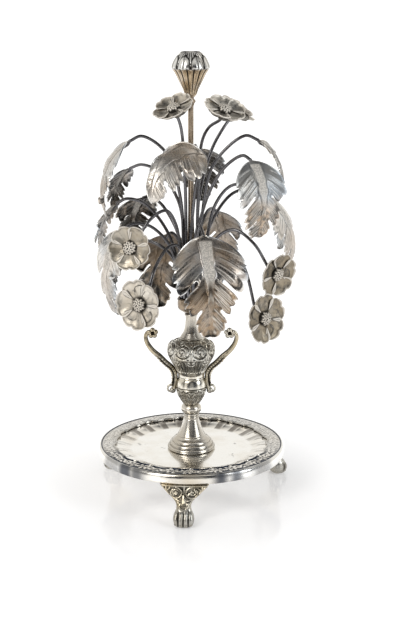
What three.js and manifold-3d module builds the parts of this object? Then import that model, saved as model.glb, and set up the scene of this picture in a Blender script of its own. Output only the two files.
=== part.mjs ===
// Centrepiece vase: a footed round tray carries a small two-handled vase, and a lift-out
// bouquet of wires with chased leaves and flowers stands in the neck of the vase.
// Millimetres, +Z up, front towards -Y. A bearing is an angle in degrees round the
// vase's axis: 0 is the front, positive goes to the right.

import * as THREE from "three";
import { mergeVertices } from "three/addons/utils/BufferGeometryUtils.js";
import Module from "manifold-3d";

const wasm = await Module();
wasm.setup();

// Clearances
const GAP = 0.3;
const CUT_MARGIN = 1;

// Tray
const TRAY_R = 60;
const TRAY_ROLL_WIDTH = 2.4;
const TRAY_BAND_WIDTH = 9.2;
const TRAY_CAVETTO_WIDTH = 10.9;
const TRAY_RIM_DEPTH = 6.4;
const TRAY_BAND_THICKNESS = 1.3;
const TRAY_WELL_DEPTH = 3.8;
const TRAY_SHEET = 1.2;
const FLUTE_COUNT = 24;
const FLUTE_STEPS = 3;
const FLUTE_DEPTH = 0.9;
const FLUTE_SHARE = 0.1;
const LIP_WIDTH = 2;
const LIP_CLEARANCE = 1.6;

// Feet
const FOOT_BEARINGS = { foot_front: -3.9, foot_rear_right: 116.1, foot_rear_left: -123.9 };
const FOOT_OVERHANG = 3.5;
const FOOT_HEIGHT = 24.6;
const BRACKET_HALF_WIDTH = 15;
const ANKLE_HALF_WIDTH = 4.6;
const ANKLE_HEIGHT = 13.5;
const PAW_HALF_WIDTH = 6.5;
const PAW_SOLE_HALF_WIDTH = 4.4;
const PAW_REACH = 5.6;
const PAW_SOLE_REACH = 3.2;
const BRACKET_INSET = 0.2;
const BRACKET_TOP_DEPTH = 4.8;
const TOE_COUNT = 5;
const TOE_RADII = [1.5, 2.8, 4.3];
const TOE_PITCH = 2.5;
const TOE_CENTRE_Z = 4.9;

// Pedestal and its fixing under the tray
const STUD_R = 2;
const STUD_LENGTH = 6.3;
const NUT_R = 4.6;
const NUT_THICKNESS = 3.2;
const PEDESTAL_R = 15.2;
const PEDESTAL_TOP_R = 4.9;
const PEDESTAL_HEIGHT = 23.1;
const SPIGOT_R = 2.6;
const SPIGOT_SOCKET_DEPTH = 3;
const KNOP_R = 6.6;
const KNOP_HEIGHT = 6;

// Vase
const VASE_SHEET = 1.2;
const VASE_BOTTOM_R = 5;
const BOWL_R = 9.9;
const BOWL_HEIGHT = 18.1;
const WAIST_R = 8.3;
const BALL_R = 15.2;
const BALL_HEIGHT = 24.4;
const BALL_MOUTH_R = 7.9;
const REGISTER_LIP = 1.6;
const NECK_BASE_R = 7.2;
const NECK_WAIST_R = 3.5;
const NECK_TOP_R = 3.9;
const NECK_HEIGHT = 16;
const NECK_BORE_R = 2.6;
const NECK_PLUG_LENGTH = 2;

// Handles
const HANDLE_R = 1.7;
const HANDLE_SIDES = 6;
const HANDLE_STEPS = 14;
const HANDLE_REACH = 28.7;
const HANDLE_ROSETTE_R = 2.5;
const HANDLE_END_R = 2.2;
const HANDLE_CONTACT_GAP = 0.35;

// Cup that gathers the wires, with its plug in the neck
const CUP_WALL = 1;
const CUP_FLOOR = 4.2;
const CUP_WELL = 6;
const CUP_PLUG_LENGTH = 17;

// Central rod and finial
const ROD_R = 1.7;
const ROD_LENGTH = 130.2;
const ROD_RING_R = 3;
const ROD_TENON_R = 1.1;
const ROD_TENON_LENGTH = 3;
const FINIAL_HEIGHT = 27.4;
const FINIAL_R = 11.2;
const FINIAL_FOOT_R = 2.4;
const FINIAL_TOP_R = 5.2;
const FINIAL_FLUTES = 16;
const FINIAL_FLUTE_DEPTH = 0.08;

// Wires, leaves and flowers
const WIRE_R = 1;
const WIRE_SIDES = 6;
const WIRE_STEPS = 14;
const WIRE_SPACING = 0.5;
const RING_SLOTS = { inner: 9, outer: 13 };
const RING_FIRST_BEARING = { inner: -145, outer: 13 };
const LEAF_THICKNESS = 0.8;
const LEAF_STALK_WIDTH = 2.4;
const LEAF_COLUMNS = 2;
const LEAF_CUP = 0.22;
const PETAL_COUNT = 5;
const PETAL_STEPS = 4;
const PETAL_THICKNESS = 0.8;
const PETAL_NOTCH = 0.2;
const PETAL_DISH = 0.13;
const FLOWER_APPROACH = 6;
const BUTTON_R = 4.3;
const BUTTON_HEIGHT = 2.4;

const TURNED_SIDES = 22;
const DEGREE = Math.PI / 180;

// Radii that follow from the tray's outer radius
const bandOuterR = TRAY_R - TRAY_ROLL_WIDTH;
const bandInnerR = bandOuterR - TRAY_BAND_WIDTH;
const trayFloorR = bandInnerR - TRAY_CAVETTO_WIDTH;
const lipInnerR = TRAY_R - LIP_WIDTH;
const flangeR = lipInnerR - LIP_CLEARANCE;
const footCircleR = TRAY_R + FOOT_OVERHANG;

// Levels that follow from the sizes above
const rimBottomZ = FOOT_HEIGHT + GAP;
const rimTopZ = rimBottomZ + TRAY_RIM_DEPTH;
const bandUndersideZ = rimTopZ - TRAY_BAND_THICKNESS;
const flangeTopZ = bandUndersideZ - GAP;
const floorTopZ = rimTopZ - TRAY_WELL_DEPTH;
const floorUndersideZ = floorTopZ - TRAY_SHEET;
const pedestalZ = floorTopZ + GAP;
const pedestalTopZ = pedestalZ + PEDESTAL_HEIGHT;
const knopZ = pedestalTopZ + GAP;
const bowlZ = knopZ + KNOP_HEIGHT + GAP;
const bowlTopZ = bowlZ + BOWL_HEIGHT;
const ballZ = bowlTopZ + GAP;
const ballTopZ = ballZ + BALL_HEIGHT;
const neckZ = ballTopZ + GAP;
const neckTopZ = neckZ + NECK_HEIGHT;
const cupZ = neckTopZ + GAP;
const cupFloorZ = cupZ + CUP_FLOOR;
const cupTopZ = cupFloorZ + CUP_WELL;
const stemFootZ = cupFloorZ + GAP;
const finialZ = stemFootZ + ROD_LENGTH + GAP;

// The wires stand in two rings round the rod, side by side, and the cup closes round them.
const wirePitch = 2 * WIRE_R + WIRE_SPACING;
const innerRingR = Math.max(
  ROD_R + WIRE_R + WIRE_SPACING,
  (RING_SLOTS.inner * wirePitch) / (2 * Math.PI),
);
const outerRingR = innerRingR + wirePitch;
const RING_RADIUS = { inner: innerRingR, outer: outerRingR };
const cupInnerR = outerRingR + WIRE_R + WIRE_SPACING;
const cupR = cupInnerR + CUP_WALL;

// One entry for each wire and its head. slot counts round its ring in the cup, and path holds
// [radius, level] points in the upright plane of the bearing (a third number turns that point
// to a bearing of its own). A level is a height above the cup's floor as a share of the rod's
// length, so a longer rod spreads the sprays. For a leaf, pitch is the slope of the rib at its
// base and at its tip, heading the way that it runs if not along the bearing, roll its tilt
// about the rib and sides the share of the width that lies left and right of the rib.
const SPRAYS = [
  { name: "leaf_front_low", ring: "outer", slot: 0, bearing: 12,
    path: [[8, 0.223], [13, 0.353], [24, 0.438], [37, 0.407]],
    leaf: { length: 65, width: 44, pitch: [-38, -108], sides: [1, 1.1] } },
  { name: "leaf_front_high", ring: "inner", slot: 3, bearing: 60,
    path: [[4.4, 0.223, -12], [5.2, 0.461, 12], [7, 0.645, 40], [10.4, 0.733, 56], [10.2, 0.75, 46]],
    leaf: { length: 58, width: 46, pitch: [24, -92], heading: -48, roll: 24, sides: [0.3, 1] } },
  { name: "leaf_left_high", ring: "inner", slot: 1, bearing: -80,
    path: [[4.6, 0.223], [6.5, 0.53], [15, 0.745], [30, 0.828], [37.5, 0.806]],
    leaf: { length: 52, width: 40, pitch: [-32, -115] } },
  { name: "leaf_left_mid", ring: "outer", slot: 9, bearing: -106,
    path: [[8, 0.192, -100], [15, 0.361, -104], [30, 0.492], [42, 0.511], [48, 0.488]],
    leaf: { length: 34, width: 30, pitch: [-35, -110] } },
  { name: "leaf_left_low", ring: "outer", slot: 10, bearing: -80,
    path: [[8, 0.184], [15, 0.323], [26, 0.403], [36, 0.415], [42.5, 0.392]],
    leaf: { length: 58, width: 42, pitch: [-48, -125], heading: -66 } },
  { name: "leaf_rear_left_high", ring: "inner", slot: 0, bearing: -125,
    path: [[4.4, 0.223], [9, 0.499], [24, 0.637], [38, 0.664], [47, 0.641]],
    leaf: { length: 32, width: 25, pitch: [-30, -105] } },
  { name: "leaf_rear_left_mid", ring: "outer", slot: 7, bearing: -140,
    path: [[8, 0.192, -148], [13, 0.346], [29, 0.469], [42, 0.495], [48, 0.484]],
    leaf: { length: 32, width: 34, pitch: [-35, -110] } },
  { name: "leaf_rear_left_low", ring: "outer", slot: 8, bearing: -116,
    path: [[8.5, 0.161, -124], [16, 0.253, -120], [30, 0.303], [42, 0.276]],
    leaf: { length: 35, width: 32, pitch: [-25, -108] } },
  { name: "leaf_rear_left_big", ring: "outer", slot: 6, bearing: -155,
    path: [[8.5, 0.161, -172], [15, 0.261, -160], [27, 0.323], [36, 0.307]],
    leaf: { length: 56, width: 42, pitch: [-42, -112] } },
  { name: "leaf_rear_high", ring: "inner", slot: 8, bearing: 172,
    path: [[4.4, 0.223], [5, 0.53], [10, 0.707], [19, 0.76], [26, 0.737]],
    leaf: { length: 44, width: 34, pitch: [-25, -100] } },
  { name: "leaf_rear_right_big", ring: "outer", slot: 5, bearing: 156,
    path: [[8, 0.192], [13, 0.346], [24, 0.43], [33, 0.44], [38, 0.424]],
    leaf: { length: 44, width: 30, pitch: [-38, -108] } },
  { name: "leaf_rear_right_mid", ring: "outer", slot: 4, bearing: 117,
    path: [[8, 0.184], [13.5, 0.391], [29, 0.534], [44, 0.545], [51, 0.511]],
    leaf: { length: 40, width: 28, pitch: [-35, -108] } },
  { name: "leaf_right_high", ring: "inner", slot: 6, bearing: 88,
    path: [[5, 0.223, 97], [7, 0.453, 92], [13.7, 0.688], [33, 0.826], [41, 0.806]],
    leaf: { length: 41, width: 36, pitch: [-28, -112] } },
  { name: "leaf_right_low", ring: "outer", slot: 3, bearing: 85,
    path: [[8.2, 0.2], [14.5, 0.491], [25, 0.592], [36, 0.592], [44.5, 0.553]],
    leaf: { length: 54, width: 40, pitch: [-28, -116], heading: 70, sides: [0.85, 0.7] } },
  { name: "leaf_right_front", ring: "inner", slot: 4, bearing: 46,
    path: [[5, 0.223, 25], [7.5, 0.392, 38], [16, 0.576], [29, 0.703], [43, 0.764], [49, 0.749]],
    leaf: { length: 54, width: 35, pitch: [-30, -140], heading: 32 } },
  { name: "flower_top_left", ring: "inner", slot: 2, bearing: -50,
    path: [[4, 0.223], [4.6, 0.607], [7.5, 0.86]],
    flower: { centre: [13.2, 0.958], size: 26, facing: [-41, 58] } },
  { name: "flower_top_right", ring: "inner", slot: 5, bearing: 42,
    path: [[4.4, 0.223, 58], [4.8, 0.53, 66], [7, 0.791, 70], [13.5, 0.868, 52]],
    flower: { centre: [30, 0.963], size: 26, facing: [36, 60] } },
  { name: "flower_top_rear", ring: "inner", slot: 7, bearing: 122,
    path: [[4.4, 0.223], [6, 0.53], [15, 0.749], [24, 0.853]],
    flower: { centre: [33, 0.929], size: 26, facing: [112, 52] } },
  { name: "flower_left_mid", ring: "outer", slot: 11, bearing: -48,
    path: [[8.5, 0.223], [12, 0.407], [20, 0.488], [33, 0.457]],
    flower: { centre: [49, 0.342], size: 27, facing: [-14, 8] } },
  { name: "flower_left_low", ring: "outer", slot: 12, bearing: -37,
    path: [[8.5, 0.207, -26], [14, 0.315, -33], [22, 0.323], [36, 0.238]],
    flower: { centre: [50.8, 0.088], size: 31, facing: [-30, 4] } },
  { name: "flower_right_mid", ring: "outer", slot: 2, bearing: 67,
    path: [[9, 0.207], [18, 0.353], [29, 0.394], [42, 0.334]],
    flower: { centre: [57, 0.2], size: 28, facing: [40, -12] } },
  { name: "flower_right_low", ring: "outer", slot: 1, bearing: 57,
    path: [[9, 0.192, 45], [15, 0.284, 52], [24, 0.311], [38, 0.238]],
    flower: { centre: [53.7, 0], size: 31, facing: [40, 4] } },
];

// Half outline of a leaf from stalk to tip, as shares of its length and of its half width,
// and where the vein that ends there leaves the rib.
const LEAF_OUTLINE = [
  { along: 0.0, across: 0.0, rib: 0.0 },
  { along: 0.03, across: 0.26, rib: 0.03 },
  { along: 0.1, across: 0.56, rib: 0.07 },
  { along: 0.22, across: 0.88, rib: 0.13 },
  { along: 0.38, across: 1.0, rib: 0.2 },
  { along: 0.56, across: 0.9, rib: 0.3 },
  { along: 0.455, across: 0.4, rib: 0.4 },
  { along: 0.5, across: 0.36, rib: 0.43 },
  { along: 0.64, across: 0.73, rib: 0.5 },
  { along: 0.81, across: 0.64, rib: 0.6 },
  { along: 0.735, across: 0.28, rib: 0.7 },
  { along: 0.87, across: 0.43, rib: 0.82 },
  { along: 1.0, across: 0.0, rib: 1.0 },
];

// Finishes
const FINISHES = {
  polished_silver: { color: 0xd2d0cc, roughness: 0.18, metalness: 1 },
  chased_silver: { color: 0xb3afa8, roughness: 0.32, metalness: 1 },
  leaf_silver: { color: 0xa7a099, roughness: 0.34, metalness: 1 },
  flower_silver: { color: 0xaaa396, roughness: 0.36, metalness: 1 },
  dark_wire: { color: 0x3a3a3e, roughness: 0.42, metalness: 1 },
  warm_rod: { color: 0xa08f7a, roughness: 0.32, metalness: 1 },
};

const centrepiece = new THREE.Group();
const turnedPieces = new THREE.Group();
const bouquet = new THREE.Group();
centrepiece.add(turnedPieces, bouquet);

function addPiece(parent, name, geometry, finish) {
  const material = new THREE.MeshStandardMaterial(FINISHES[finish]);
  const mesh = new THREE.Mesh(geometry, material);
  mesh.name = name;
  parent.add(mesh);
  return mesh;
}

// Solids

function signedVolume(positions, index) {
  const a = new THREE.Vector3();
  const b = new THREE.Vector3();
  const c = new THREE.Vector3();
  let volume = 0;
  for (let i = 0; i < index.length; i += 3) {
    a.fromBufferAttribute(positions, index[i]);
    b.fromBufferAttribute(positions, index[i + 1]);
    c.fromBufferAttribute(positions, index[i + 2]);
    volume += a.dot(b.cross(c)) / 6;
  }
  return volume;
}

// Merges shared vertices, drops flat triangles and turns the faces outward.
function weld(geometry) {
  geometry.deleteAttribute("normal");
  geometry.deleteAttribute("uv");
  const welded = mergeVertices(geometry);
  const source = welded.index.array;
  const kept = [];
  for (let i = 0; i < source.length; i += 3) {
    const corners = [source[i], source[i + 1], source[i + 2]];
    if (new Set(corners).size === 3) kept.push(...corners);
  }
  if (signedVolume(welded.attributes.position, kept) < 0) kept.reverse();
  welded.setIndex(kept);
  return welded;
}

function toSolid(geometry) {
  const welded = weld(geometry);
  const mesh = new wasm.Mesh({
    numProp: 3,
    vertProperties: new Float32Array(welded.attributes.position.array),
    triVerts: new Uint32Array(welded.index.array),
  });
  return new wasm.Manifold(mesh);
}

function toGeometry(solid) {
  const mesh = solid.getMesh();
  const geometry = new THREE.BufferGeometry();
  geometry.setAttribute("position", new THREE.BufferAttribute(mesh.vertProperties, 3));
  geometry.setIndex(new THREE.BufferAttribute(mesh.triVerts, 1));
  return geometry;
}

// Turns a profile of [radius, height] points about the vertical axis. A profile that does not
// start on the axis is closed on itself, which leaves a hole through the piece.
function turned(profile, sides = TURNED_SIDES) {
  const points = profile.map(([radius, height]) => new THREE.Vector2(radius, height));
  if (points[0].x > 0) points.push(points[0].clone());
  const geometry = new THREE.LatheGeometry(points, sides);
  geometry.rotateX(Math.PI / 2);
  return weld(geometry);
}

// Extrudes a closed outline of [x, y] points along +Z.
function extruded(outline, depth) {
  const shape = new THREE.Shape(outline.map(([x, y]) => new THREE.Vector2(x, y)));
  return new THREE.ExtrudeGeometry(shape, { depth, bevelEnabled: false });
}

function roundSection(radius, sides) {
  const shape = new THREE.Shape();
  for (let i = 0; i < sides; i += 1) {
    const angle = (2 * Math.PI * i) / sides;
    const x = radius * Math.cos(angle);
    const y = radius * Math.sin(angle);
    if (i === 0) shape.moveTo(x, y);
    else shape.lineTo(x, y);
  }
  shape.closePath();
  return shape;
}

// A smooth curve whose steps follow its control points, so bends get more steps than the
// long straight stretches.
class BentPath extends THREE.CatmullRomCurve3 {
  constructor(points) {
    super(points, false, "centripetal");
  }

  getPointAt(share, target) {
    return this.getPoint(share, target);
  }

  getTangentAt(share, target) {
    return this.getTangent(share, target);
  }
}

function bar(points, radius, sides, steps) {
  const options = { steps, extrudePath: new BentPath(points), bevelEnabled: false };
  return new THREE.ExtrudeGeometry(roundSection(radius, sides), options);
}

// Point at a bearing, a radius from the axis and a height.
function polar(bearing, radius, height) {
  const angle = bearing * DEGREE;
  return new THREE.Vector3(radius * Math.sin(angle), -radius * Math.cos(angle), height);
}

// Unit vector at a bearing, tilted up by an elevation.
function direction(bearing, elevation) {
  const level = Math.cos(elevation * DEGREE);
  return polar(bearing, level, Math.sin(elevation * DEGREE));
}

// Radius of an outer profile at a height, for pieces that lie against it.
function radiusAt(profile, height) {
  for (let i = 1; i < profile.length; i += 1) {
    const [lowRadius, lowHeight] = profile[i - 1];
    const [highRadius, highHeight] = profile[i];
    if (height >= lowHeight && height <= highHeight && highHeight > lowHeight) {
      const share = (height - lowHeight) / (highHeight - lowHeight);
      return lowRadius + share * (highRadius - lowRadius);
    }
  }
  return profile[profile.length - 1][0];
}

// Tray

// Pushes the ring of vertices near the fluted edge out and in, one wave for each flute.
function flute(geometry, innerRadius, outerRadius) {
  const position = geometry.attributes.position;
  for (let i = 0; i < position.count; i += 1) {
    const x = position.getX(i);
    const y = position.getY(i);
    const radius = Math.hypot(x, y);
    if (radius > innerRadius && radius < outerRadius) {
      const turn = (Math.atan2(y, x) / (2 * Math.PI)) * FLUTE_COUNT;
      const phase = Math.abs(turn - Math.round(turn));
      const outward = phase > FLUTE_SHARE ? FLUTE_DEPTH / 2 : -FLUTE_DEPTH / 2;
      const shift = 1 + outward / radius;
      position.setXY(i, x * shift, y * shift);
    }
  }
  return geometry;
}

function trayDish() {
  const cavettoR = (trayFloorR + bandInnerR) / 2;
  const cavettoZ = floorTopZ + (flangeTopZ - floorTopZ) * 0.4;
  const flangeUndersideZ = flangeTopZ - TRAY_SHEET;
  const profile = [
    [STUD_R + GAP, floorUndersideZ],
    [trayFloorR + TRAY_SHEET / 2, floorUndersideZ],
    [bandInnerR + TRAY_SHEET / 2, flangeUndersideZ],
    [flangeR, flangeUndersideZ],
    [flangeR, flangeTopZ],
    [bandInnerR, flangeTopZ],
    [cavettoR, cavettoZ],
    [trayFloorR, floorTopZ],
    [STUD_R + GAP, floorTopZ],
  ];
  const dish = turned(profile, FLUTE_COUNT * FLUTE_STEPS);
  return flute(dish, cavettoR - CUT_MARGIN, bandInnerR + TRAY_SHEET);
}

function trayRim() {
  const profile = [
    [bandInnerR, bandUndersideZ],
    [lipInnerR - GAP, bandUndersideZ],
    [lipInnerR, rimBottomZ],
    [TRAY_R - 0.4, rimBottomZ],
    [TRAY_R, rimBottomZ + TRAY_RIM_DEPTH * 0.35],
    [TRAY_R - 0.3, rimTopZ - 2],
    [TRAY_R - 1, rimTopZ - 0.5],
    [bandOuterR + 0.5, rimTopZ],
    [bandInnerR + 0.6, rimTopZ],
  ];
  const rim = turned(profile, FLUTE_COUNT * FLUTE_STEPS);
  return flute(rim, bandInnerR - CUT_MARGIN, bandInnerR + CUT_MARGIN);
}

// Feet

// A foot is where its front outline, run through from back to front, meets its side outline,
// run through from left to right. Five toes stand proud of the paw.
function pawFoot() {
  const ankle = ANKLE_HALF_WIDTH;
  const half = [
    [PAW_SOLE_HALF_WIDTH, 0],
    [PAW_HALF_WIDTH - 0.5, 1.6],
    [PAW_HALF_WIDTH, 4.2],
    [PAW_HALF_WIDTH - 0.3, 7.2],
    [ankle + 0.4, 10],
    [ankle - 0.2, ANKLE_HEIGHT - 1.6],
    [ankle, ANKLE_HEIGHT],
    [ankle + 1.7, ANKLE_HEIGHT + 3.2],
    [BRACKET_HALF_WIDTH * 0.56, FOOT_HEIGHT - 7.6],
    [BRACKET_HALF_WIDTH * 0.72, FOOT_HEIGHT - 5.4],
    [BRACKET_HALF_WIDTH * 0.93, FOOT_HEIGHT - 1.8],
    [BRACKET_HALF_WIDTH, FOOT_HEIGHT],
  ];
  const mirrored = half.map(([x, y]) => [-x, y]).reverse();
  const depth = 60;
  const front = extruded([...half, ...mirrored], depth);
  front.rotateX(Math.PI / 2);
  front.translate(0, depth / 2, 0);
  const bracketTop = FOOT_OVERHANG + BRACKET_INSET;
  const side = [
    [-PAW_SOLE_REACH, 0],
    [PAW_SOLE_REACH, 0],
    [PAW_REACH - 0.4, 1.8],
    [PAW_REACH, 4.4],
    [PAW_REACH - 1.2, 8],
    [1.8, ANKLE_HEIGHT - 2.2],
    [-0.6, ANKLE_HEIGHT + 2],
    [-2.6, FOOT_HEIGHT - 6],
    [-bracketTop, FOOT_HEIGHT],
    [-bracketTop - BRACKET_TOP_DEPTH, FOOT_HEIGHT],
    [-6.6, FOOT_HEIGHT - 7.4],
    [-4.8, ANKLE_HEIGHT + 1],
    [-4.4, ANKLE_HEIGHT - 3],
    [-PAW_REACH + 0.2, 6.4],
    [-PAW_REACH, 3],
  ];
  const across = extruded(side.map(([outward, z]) => [-outward, z]), depth);
  across.rotateX(Math.PI / 2);
  across.rotateZ(Math.PI / 2);
  across.translate(-depth / 2, 0, 0);
  let solid = toSolid(front).intersect(toSolid(across));
  for (let i = 0; i < TOE_COUNT; i += 1) {
    const offset = i - (TOE_COUNT - 1) / 2;
    const toe = new THREE.SphereGeometry(1, 6, 6);
    toe.scale(...TOE_RADII);
    const outward = PAW_REACH - TOE_RADII[1] + 1.2 - 0.35 * offset * offset;
    toe.translate(offset * TOE_PITCH, -outward, TOE_CENTRE_Z);
    solid = solid.add(toSolid(toe));
  }
  return solid;
}

// Trims a solid at the surface that the object stands on.
function standing(solid) {
  const ground = new THREE.BoxGeometry(200, 200, 20);
  ground.translate(0, 0, -10);
  return toGeometry(solid.subtract(toSolid(ground)));
}

// Pedestal, nut and knop

function pedestalFoot() {
  const top = PEDESTAL_HEIGHT;
  const profile = [
    [0, -STUD_LENGTH],
    [STUD_R, -STUD_LENGTH],
    [STUD_R, 0],
    [PEDESTAL_R, 0],
    [PEDESTAL_R, 2.2],
    [PEDESTAL_R - 1.8, 4.4],
    [PEDESTAL_R - 3.2, 5.2],
    [PEDESTAL_R - 3.9, 7.2],
    [PEDESTAL_R - 6.2, 8.4],
    [PEDESTAL_R - 8.2, 12.3],
    [PEDESTAL_TOP_R + 0.9, top - 7.2],
    [PEDESTAL_TOP_R, top - 3.6],
    [PEDESTAL_TOP_R - 0.5, top - 2.8],
    [PEDESTAL_TOP_R, top - 2],
    [PEDESTAL_TOP_R, top],
    [SPIGOT_R, top],
    [SPIGOT_R, top + GAP + KNOP_HEIGHT + SPIGOT_SOCKET_DEPTH],
    [0, top + GAP + KNOP_HEIGHT + SPIGOT_SOCKET_DEPTH],
  ];
  return turned(profile);
}

function trayNut() {
  const nut = new THREE.CylinderGeometry(NUT_R, NUT_R, NUT_THICKNESS, 6);
  nut.rotateX(Math.PI / 2);
  const bore = new THREE.CylinderGeometry(STUD_R + GAP, STUD_R + GAP, NUT_THICKNESS + CUT_MARGIN, TURNED_SIDES);
  bore.rotateX(Math.PI / 2);
  return toGeometry(toSolid(nut).subtract(toSolid(bore)));
}

function knop() {
  const bore = SPIGOT_R + GAP;
  const middle = KNOP_HEIGHT / 2;
  const profile = [
    [bore, 0],
    [KNOP_R - 1.6, 0],
    [KNOP_R - 0.4, middle - 1.5],
    [KNOP_R, middle],
    [KNOP_R - 0.4, middle + 1.5],
    [KNOP_R - 1.6, KNOP_HEIGHT],
    [bore, KNOP_HEIGHT],
  ];
  return turned(profile);
}

// Vase

function bowlOutside() {
  return [
    [VASE_BOTTOM_R, 0],
    [BOWL_R - 2.6, 3.2],
    [BOWL_R - 0.5, 7.3],
    [BOWL_R, 10.6],
    [BOWL_R - 0.6, 14.4],
    [WAIST_R + 0.3, BOWL_HEIGHT - 1.2],
    [WAIST_R, BOWL_HEIGHT],
  ];
}

function ballOutside() {
  return [
    [WAIST_R, 0],
    [WAIST_R + 1.3, 2.8],
    [BALL_R - 3.6, 6.5],
    [BALL_R - 1.2, 10.2],
    [BALL_R, 14.1],
    [BALL_R - 0.3, 18.1],
    [BALL_R - 3.4, BALL_HEIGHT - 2.4],
    [BALL_MOUTH_R, BALL_HEIGHT],
  ];
}

function inset(profile, sheet) {
  return profile.map(([radius, height]) => [radius - sheet, height]);
}

function vaseBowl() {
  const outside = bowlOutside();
  const socket = SPIGOT_SOCKET_DEPTH + GAP;
  const inside = inset(outside, VASE_SHEET).filter(([, height]) => height > socket + VASE_SHEET);
  const profile = [
    [0, socket],
    [SPIGOT_R + GAP, socket],
    [SPIGOT_R + GAP, 0],
    ...outside,
    ...inside.reverse(),
    [SPIGOT_R + GAP, socket + VASE_SHEET],
    [0, socket + VASE_SHEET],
  ];
  return turned(profile);
}

function vaseBall() {
  const outside = ballOutside();
  const lipR = WAIST_R - VASE_SHEET - GAP;
  const inside = inset(outside, VASE_SHEET).slice(1, -1);
  const profile = [
    [lipR - VASE_SHEET, -REGISTER_LIP],
    [lipR, -REGISTER_LIP],
    [lipR, 0],
    ...outside,
    [BALL_MOUTH_R - 2 * VASE_SHEET, BALL_HEIGHT],
    [BALL_MOUTH_R - 2 * VASE_SHEET, BALL_HEIGHT - VASE_SHEET],
    ...inside.reverse(),
    [lipR - VASE_SHEET, 0],
  ];
  return turned(profile);
}

function vaseNeck() {
  const plugR = BALL_MOUTH_R - 2 * VASE_SHEET - GAP;
  const profile = [
    [NECK_BORE_R, -NECK_PLUG_LENGTH],
    [plugR, -NECK_PLUG_LENGTH],
    [plugR, 0],
    [NECK_BASE_R, 0],
    [NECK_BASE_R - 0.5, 1.1],
    [NECK_BASE_R - 2.2, 4],
    [NECK_WAIST_R + 0.4, 8.6],
    [NECK_WAIST_R, NECK_HEIGHT - 3.5],
    [NECK_TOP_R, NECK_HEIGHT],
    [NECK_BORE_R, NECK_HEIGHT],
  ];
  return turned(profile);
}

// A handle rises from a ball end beside the bowl, lies against the vase up to the ball and
// swings out and up to a rosette.
function vaseHandle(side) {
  const bowl = bowlOutside().map(([radius, height]) => [radius, height + bowlZ]);
  const ball = ballOutside().map(([radius, height]) => [radius, height + ballZ]);
  const body = [...bowl, ...ball];
  const reach = HANDLE_REACH;
  const against = [bowlZ + 9.5, bowlZ + 12.5, bowlZ + 15.5, ballZ + 2, ballZ + 5.6];
  const seat = against.map((height) => {
    const radius = radiusAt(body, height) + HANDLE_R + HANDLE_CONTACT_GAP;
    return [radius * 1.02, height];
  });
  const free = [
    [BALL_R + HANDLE_R - 0.6, ballZ + 8.6],
    [reach - 8.6, ballZ + 12.8],
    [reach - 4.2, ballZ + 16.6],
    [reach - 0.8, ballZ + 21.8],
    [reach, ballZ + 26],
    [reach - 1.6, ballZ + 28.6],
    [reach - 4, ballZ + 28.2],
  ];
  const points = [...seat, ...free].map(([radius, z]) => new THREE.Vector3(side * radius, 0, z));
  const first = points[0];
  const last = points[points.length - 1];
  let solid = toSolid(bar(points, HANDLE_R, HANDLE_SIDES, HANDLE_STEPS));
  const end = new THREE.SphereGeometry(HANDLE_END_R, 8, 5);
  const endR = radiusAt(body, first.z) + HANDLE_END_R + 2 * HANDLE_CONTACT_GAP;
  end.translate(side * endR, 0, first.z);
  solid = solid.add(toSolid(end));
  const rosette = new THREE.SphereGeometry(HANDLE_ROSETTE_R, 8, 5);
  rosette.translate(last.x, 0, last.z);
  solid = solid.add(toSolid(rosette));
  return toGeometry(solid);
}

// Bouquet

function stemCup() {
  const plugR = NECK_BORE_R - GAP;
  const profile = [
    [0, -CUP_PLUG_LENGTH],
    [plugR, -CUP_PLUG_LENGTH],
    [plugR, 0],
    [NECK_TOP_R, 0],
    [NECK_TOP_R + 1.2, 1],
    [cupR - 0.3, CUP_FLOOR - 0.4],
    [cupR, CUP_FLOOR + CUP_WELL],
    [cupInnerR, CUP_FLOOR + CUP_WELL],
    [cupInnerR, CUP_FLOOR],
    [0, CUP_FLOOR],
  ];
  return turned(profile);
}

function centreRod() {
  const profile = [
    [0, 0],
    [ROD_R, 0],
    [ROD_R, ROD_LENGTH - 4],
    [ROD_RING_R, ROD_LENGTH - 3],
    [ROD_RING_R, ROD_LENGTH - 1.6],
    [ROD_R + 0.4, ROD_LENGTH],
    [ROD_TENON_R, ROD_LENGTH],
    [ROD_TENON_R, ROD_LENGTH + ROD_TENON_LENGTH],
    [0, ROD_LENGTH + ROD_TENON_LENGTH],
  ];
  return turned(profile, 12);
}

function finialBud() {
  const height = FINIAL_HEIGHT;
  const socketR = ROD_TENON_R + GAP;
  const socket = ROD_TENON_LENGTH + GAP;
  const profile = [
    [0, socket],
    [socketR, socket],
    [socketR, 0],
    [FINIAL_FOOT_R, 0],
    [FINIAL_FOOT_R + 1.2, 2.4],
    [FINIAL_R * 0.62, height * 0.34],
    [FINIAL_R * 0.93, height * 0.55],
    [FINIAL_R, height * 0.64],
    [FINIAL_R * 0.96, height * 0.71],
    [FINIAL_R * 0.76, height * 0.87],
    [FINIAL_TOP_R, height],
    [0, height - 0.8],
  ];
  const bud = turned(profile, 2 * FINIAL_FLUTES);
  const position = bud.attributes.position;
  for (let i = 0; i < position.count; i += 1) {
    const x = position.getX(i);
    const y = position.getY(i);
    const radius = Math.hypot(x, y);
    if (radius > FINIAL_FOOT_R + CUT_MARGIN / 2) {
      const step = Math.round((Math.atan2(y, x) / Math.PI) * FINIAL_FLUTES);
      const scale = step % 2 === 0 ? 1 : 1 - FINIAL_FLUTE_DEPTH;
      position.setXY(i, x * scale, y * scale);
    }
  }
  return bud;
}

function levelZ(level) {
  return cupFloorZ + level * ROD_LENGTH;
}

function slotBearing(spray) {
  return RING_FIRST_BEARING[spray.ring] + (360 / RING_SLOTS[spray.ring]) * spray.slot;
}

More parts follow.
